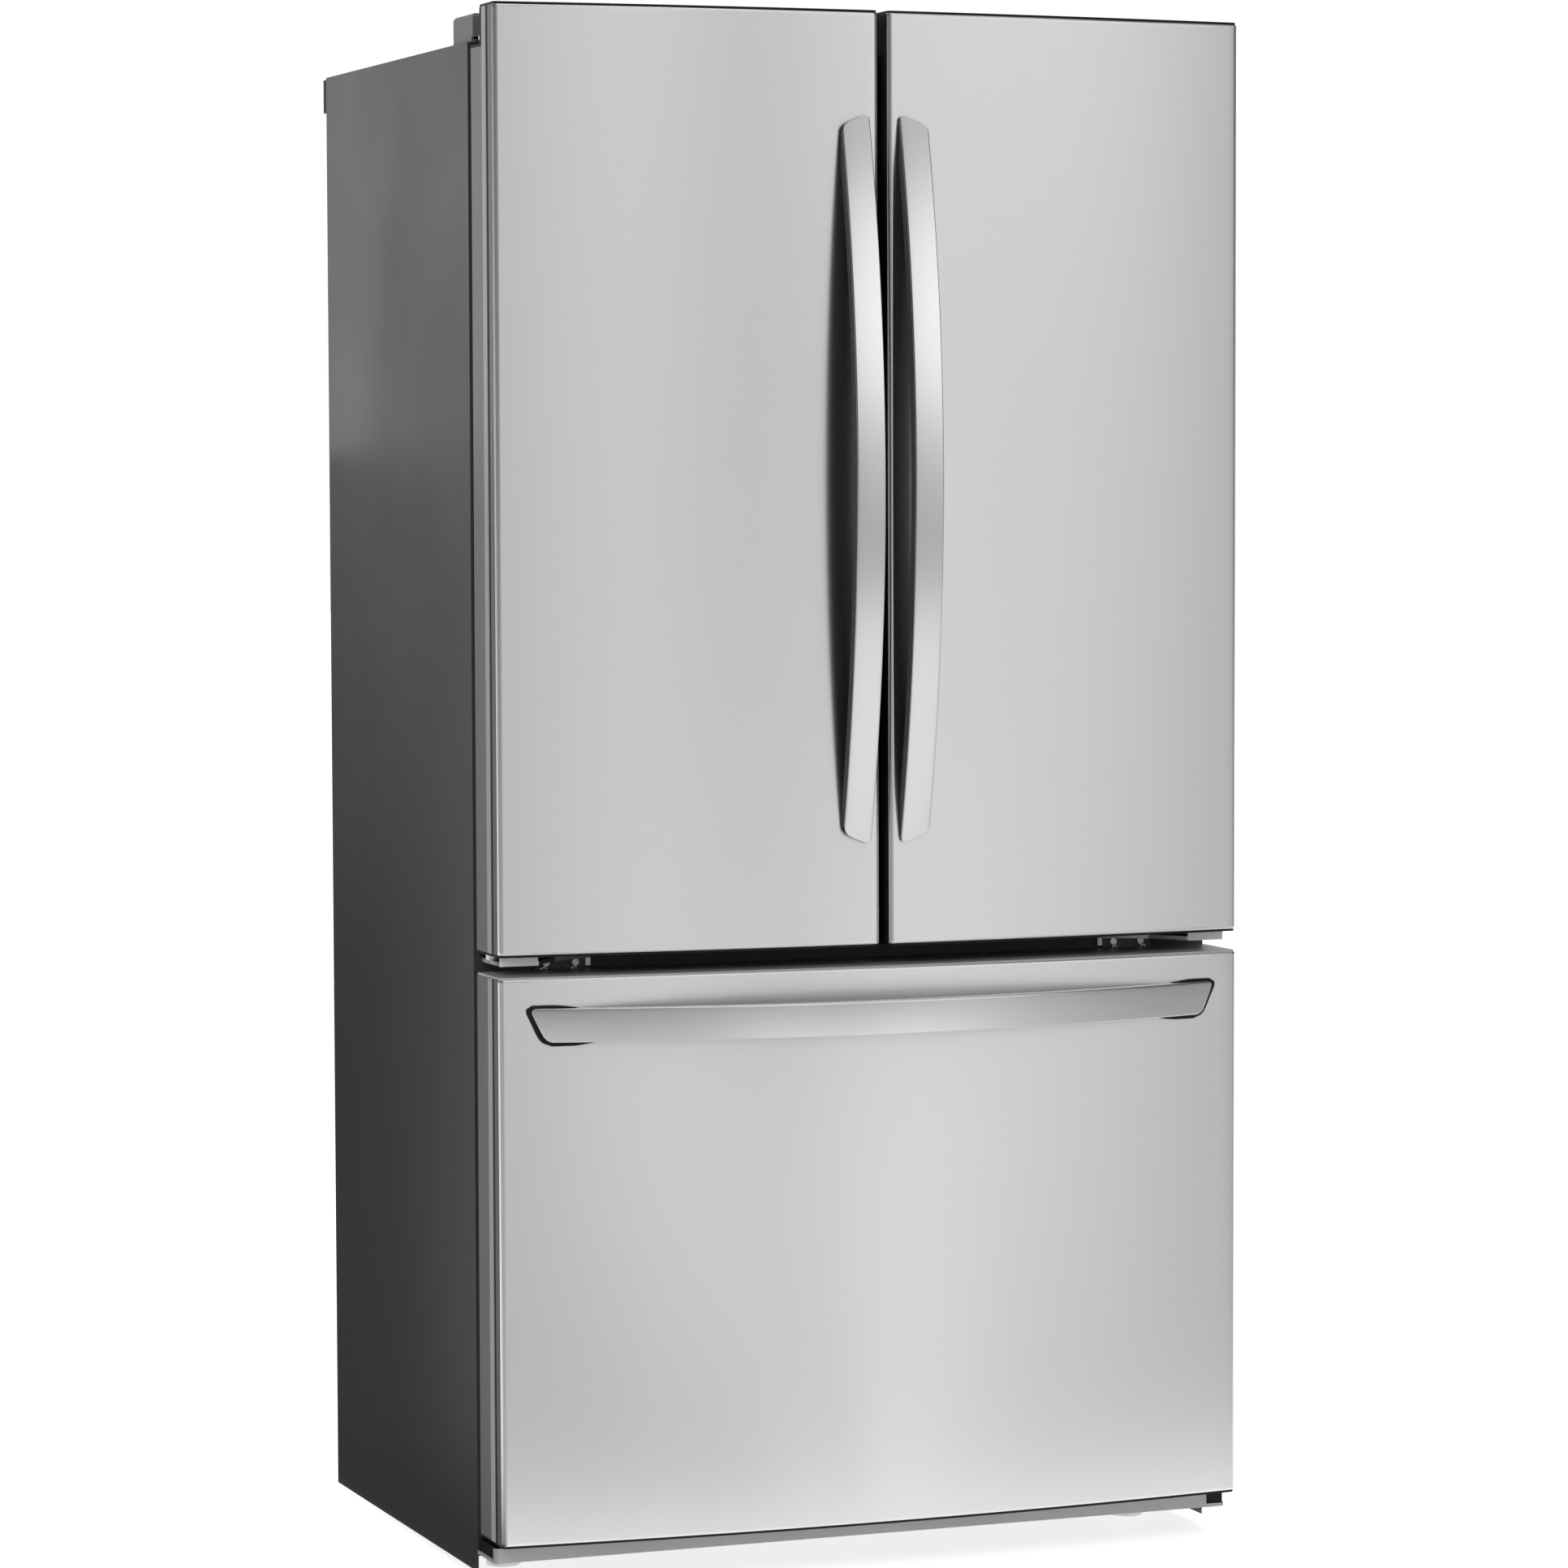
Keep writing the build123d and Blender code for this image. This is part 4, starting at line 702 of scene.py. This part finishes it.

# --- Studio -------------------------------------------------------------------------------------
# A white floor and backdrop. Soft light comes from the front right and above. A pool of light on the
# floor ahead, and darker floor farther off, are painted into the floor's glow. A dark card on the left,
# seen only in reflections, shades the case side.

FLOOR_REACH = 40.0
WHITE_FROM, WHITE_FULL = -0.75, -0.6
FAN_ORIGIN = 0.32
floor_finish = Finish("studio_floor", Metallic=0.0, Roughness=0.8, Base_Color=grey(0.80),
                      Emission_Strength=1.0)
nearness = floor_finish.along("Y") / (2 * FLOOR_REACH) + 0.5


def by_distance(metres):
    """Ramp position of a distance from the middle of the object, forwards negative."""
    return metres / (2 * FLOOR_REACH) + 0.5


# Painted light: the floor glows bright near the object and dimmer far ahead, for the steel to reflect.
away = floor_finish.node("ValToRGB", {"stops": [
    (by_distance(-9), grey(0.05)), (by_distance(-7.5), grey(0.08)), (by_distance(-6), grey(0.42)),
    (by_distance(-1.8), grey(0.36)), (by_distance(WHITE_FROM), grey(0.16)),
    (by_distance(WHITE_FULL), grey(0.72)), (by_distance(0.4), grey(0.9))]}, {0: nearness})
bearing = floor_finish.node("Math", {"operation": "ARCTAN2"}, {
    0: floor_finish.along("X"), 1: floor_finish.along("Y") * -1.0 - FAN_ORIGIN}) / math.tau + 0.5


def level_stops(pairs, lowest, highest):
    """Ramp stops from pairs of degrees and brightness."""
    return [((degrees - lowest) / (highest - lowest), grey(level)) for degrees, level in pairs]


# The painted pool of light in the floor's glow changes with the bearing from a point under the doors.
spread_round = floor_finish.node("ValToRGB", {"stops": level_stops([
    (-30, 0.1), (-12, 0.15), (-3, 0.35), (4, 0.95), (8, 1.05), (12.5, 0.90), (17, 0.95), (21, 1.35),
    (25, 1.35), (29.5, 1.15), (34, 0.85), (38, 0.60), (46, 0.35), (56, 0.1)], -180, 180)}, {0: bearing})
pool = floor_finish.node("Mix", {"data_type": "RGBA", "blend_type": "MULTIPLY"},
                         {0: 1.0, 6: away, 7: spread_round}, output=2)
floor_finish.feed("Emission Color", floor_finish.blend(
    floor_finish.ramp(nearness, by_distance(WHITE_FROM), by_distance(WHITE_FULL)), pool, away))
floor_mesh = bpy.data.meshes.new("studio_floor")
floor_corners = [(-FLOOR_REACH, -FLOOR_REACH, 0), (FLOOR_REACH, -FLOOR_REACH, 0),
                 (FLOOR_REACH, FLOOR_REACH, 0), (-FLOOR_REACH, FLOOR_REACH, 0)]
floor_mesh.from_pydata(floor_corners, [], [(0, 1, 2, 3)])
floor = bpy.data.objects.new("studio_floor", floor_mesh)
bpy.context.scene.collection.objects.link(floor)
floor_mesh.materials.append(floor_finish.material)

CARD_HEIGHT = 1.28
CARD_FAR, CARD_NEAR = -0.84, -0.46
CARD_REACH = 0.5
CARD_LIFT = 0.002
card_finish = Finish("studio_card", Metallic=0.0, Roughness=0.9)
# Painted shade: the card's colour is darker towards the bottom, so the case side reflects less there.
card_finish.feed("Base Color", card_finish.node("ValToRGB", {"stops": [
    (0.0, grey(0.04)), (0.5, grey(0.15)), (0.75, grey(0.50)), (1.0, grey(0.95))]},
    {0: card_finish.along("Z") / CARD_HEIGHT}))
card_mesh = bpy.data.meshes.new("studio_card")
card_corners = [(CARD_FAR, CARD_REACH, CARD_LIFT), (CARD_NEAR, CARD_REACH, CARD_LIFT),
                (CARD_NEAR, CARD_REACH, CARD_HEIGHT), (CARD_FAR, CARD_REACH, CARD_HEIGHT),
                (CARD_FAR, -CARD_REACH, CARD_LIFT), (CARD_NEAR, -CARD_REACH, CARD_LIFT)]
card_mesh.from_pydata(card_corners, [], [(0, 1, 2, 3), (4, 5, 1, 0)])
card = bpy.data.objects.new("studio_card", card_mesh)
bpy.context.scene.collection.objects.link(card)
card_mesh.materials.append(card_finish.material)
card.visible_camera = False
card.visible_diffuse = False
card.visible_shadow = False

sky = Finish("studio_sky", bpy.data.worlds, "Background", Strength=1.0)
bpy.context.scene.world = sky.material
direction = sky.node("TexCoord", output="Generated")
east, north, up = (sky.node("SeparateXYZ", sockets={0: direction}, output=axis) for axis in range(3))
turn_round = sky.node("Math", {"operation": "ARCTAN2"}, {0: east, 1: north * -1.0}) / math.tau + 0.5
# Brightness by degrees to the right of straight ahead, then by degrees above the horizon.
round_about = sky.node("ValToRGB", {"stops": level_stops([
    (-150, 0.9), (-140, 0.14), (-35, 0.16), (-16, 0.40), (-3, 0.60), (5, 1.15), (12, 1.65), (16.5, 1.10),
    (21.5, 1.60), (27, 1.66), (31, 1.76), (35, 1.60), (45, 0.45), (60, 0.14), (140, 0.14)], -180, 180)},
    {0: turn_round})
tilt = sky.node("Math", {"operation": "ARCSINE"}, {0: up}) / math.pi + 0.5
up_down = sky.node("ValToRGB", {"stops": level_stops([
    (-5, 0.40), (2, 0.36), (8, 0.76), (14, 0.77), (20, 0.68), (25, 0.34), (36, 0.36), (60, 1.2), (90, 1.6)],
    -90, 90)}, {0: tilt})
glow = sky.node("Mix", {"data_type": "RGBA", "blend_type": "MULTIPLY"},
                {0: 1.0, 6: round_about, 7: up_down}, output=2)
# Straight behind the object the sky is an even white backdrop.
behind = sky.node("Math", {"operation": "ABSOLUTE"}, {0: turn_round - 0.5})
sky.feed("Color", sky.blend(sky.ramp(behind, 143 / 360, 148 / 360), glow, grey(1.03)))
bpy.context.scene.view_settings.view_transform = "Standard"

key_data = bpy.data.lights.new("key_light", "AREA")
key_data.size = 2.5
key_data.energy = 120
key_light = bpy.data.objects.new("key_light", key_data)
bpy.context.scene.collection.objects.link(key_light)
key_light.location = (-3.5, -4.5, 3.6)
key_light.visible_glossy = False
key_light.rotation_euler = (Vector((0, 0, 1)) - key_light.location).to_track_quat("-Z", "Y").to_euler()

CAMERA_YAW = math.radians(-20.8)
CAMERA_PITCH = math.radians(3.41)
CAMERA_ROLL = math.radians(-0.2)
CAMERA_X, CAMERA_HEIGHT = -2.238, 1.263
CAMERA_DISTANCE = 5.593
camera_data = bpy.data.cameras.new("camera")
camera_data.sensor_width = 36.0
camera_data.lens = 121.36
camera = bpy.data.objects.new("camera", camera_data)
bpy.context.scene.collection.objects.link(camera)
camera.location = (CAMERA_X, front_plane - CAMERA_DISTANCE, CAMERA_HEIGHT)
aim = Vector((-math.sin(CAMERA_YAW) * math.cos(CAMERA_PITCH), math.cos(CAMERA_YAW) * math.cos(CAMERA_PITCH),
              -math.sin(CAMERA_PITCH)))
camera.rotation_euler = aim.to_track_quat("-Z", "Y").to_euler()
camera.rotation_euler.rotate_axis("Z", CAMERA_ROLL)
bpy.context.scene.camera = camera
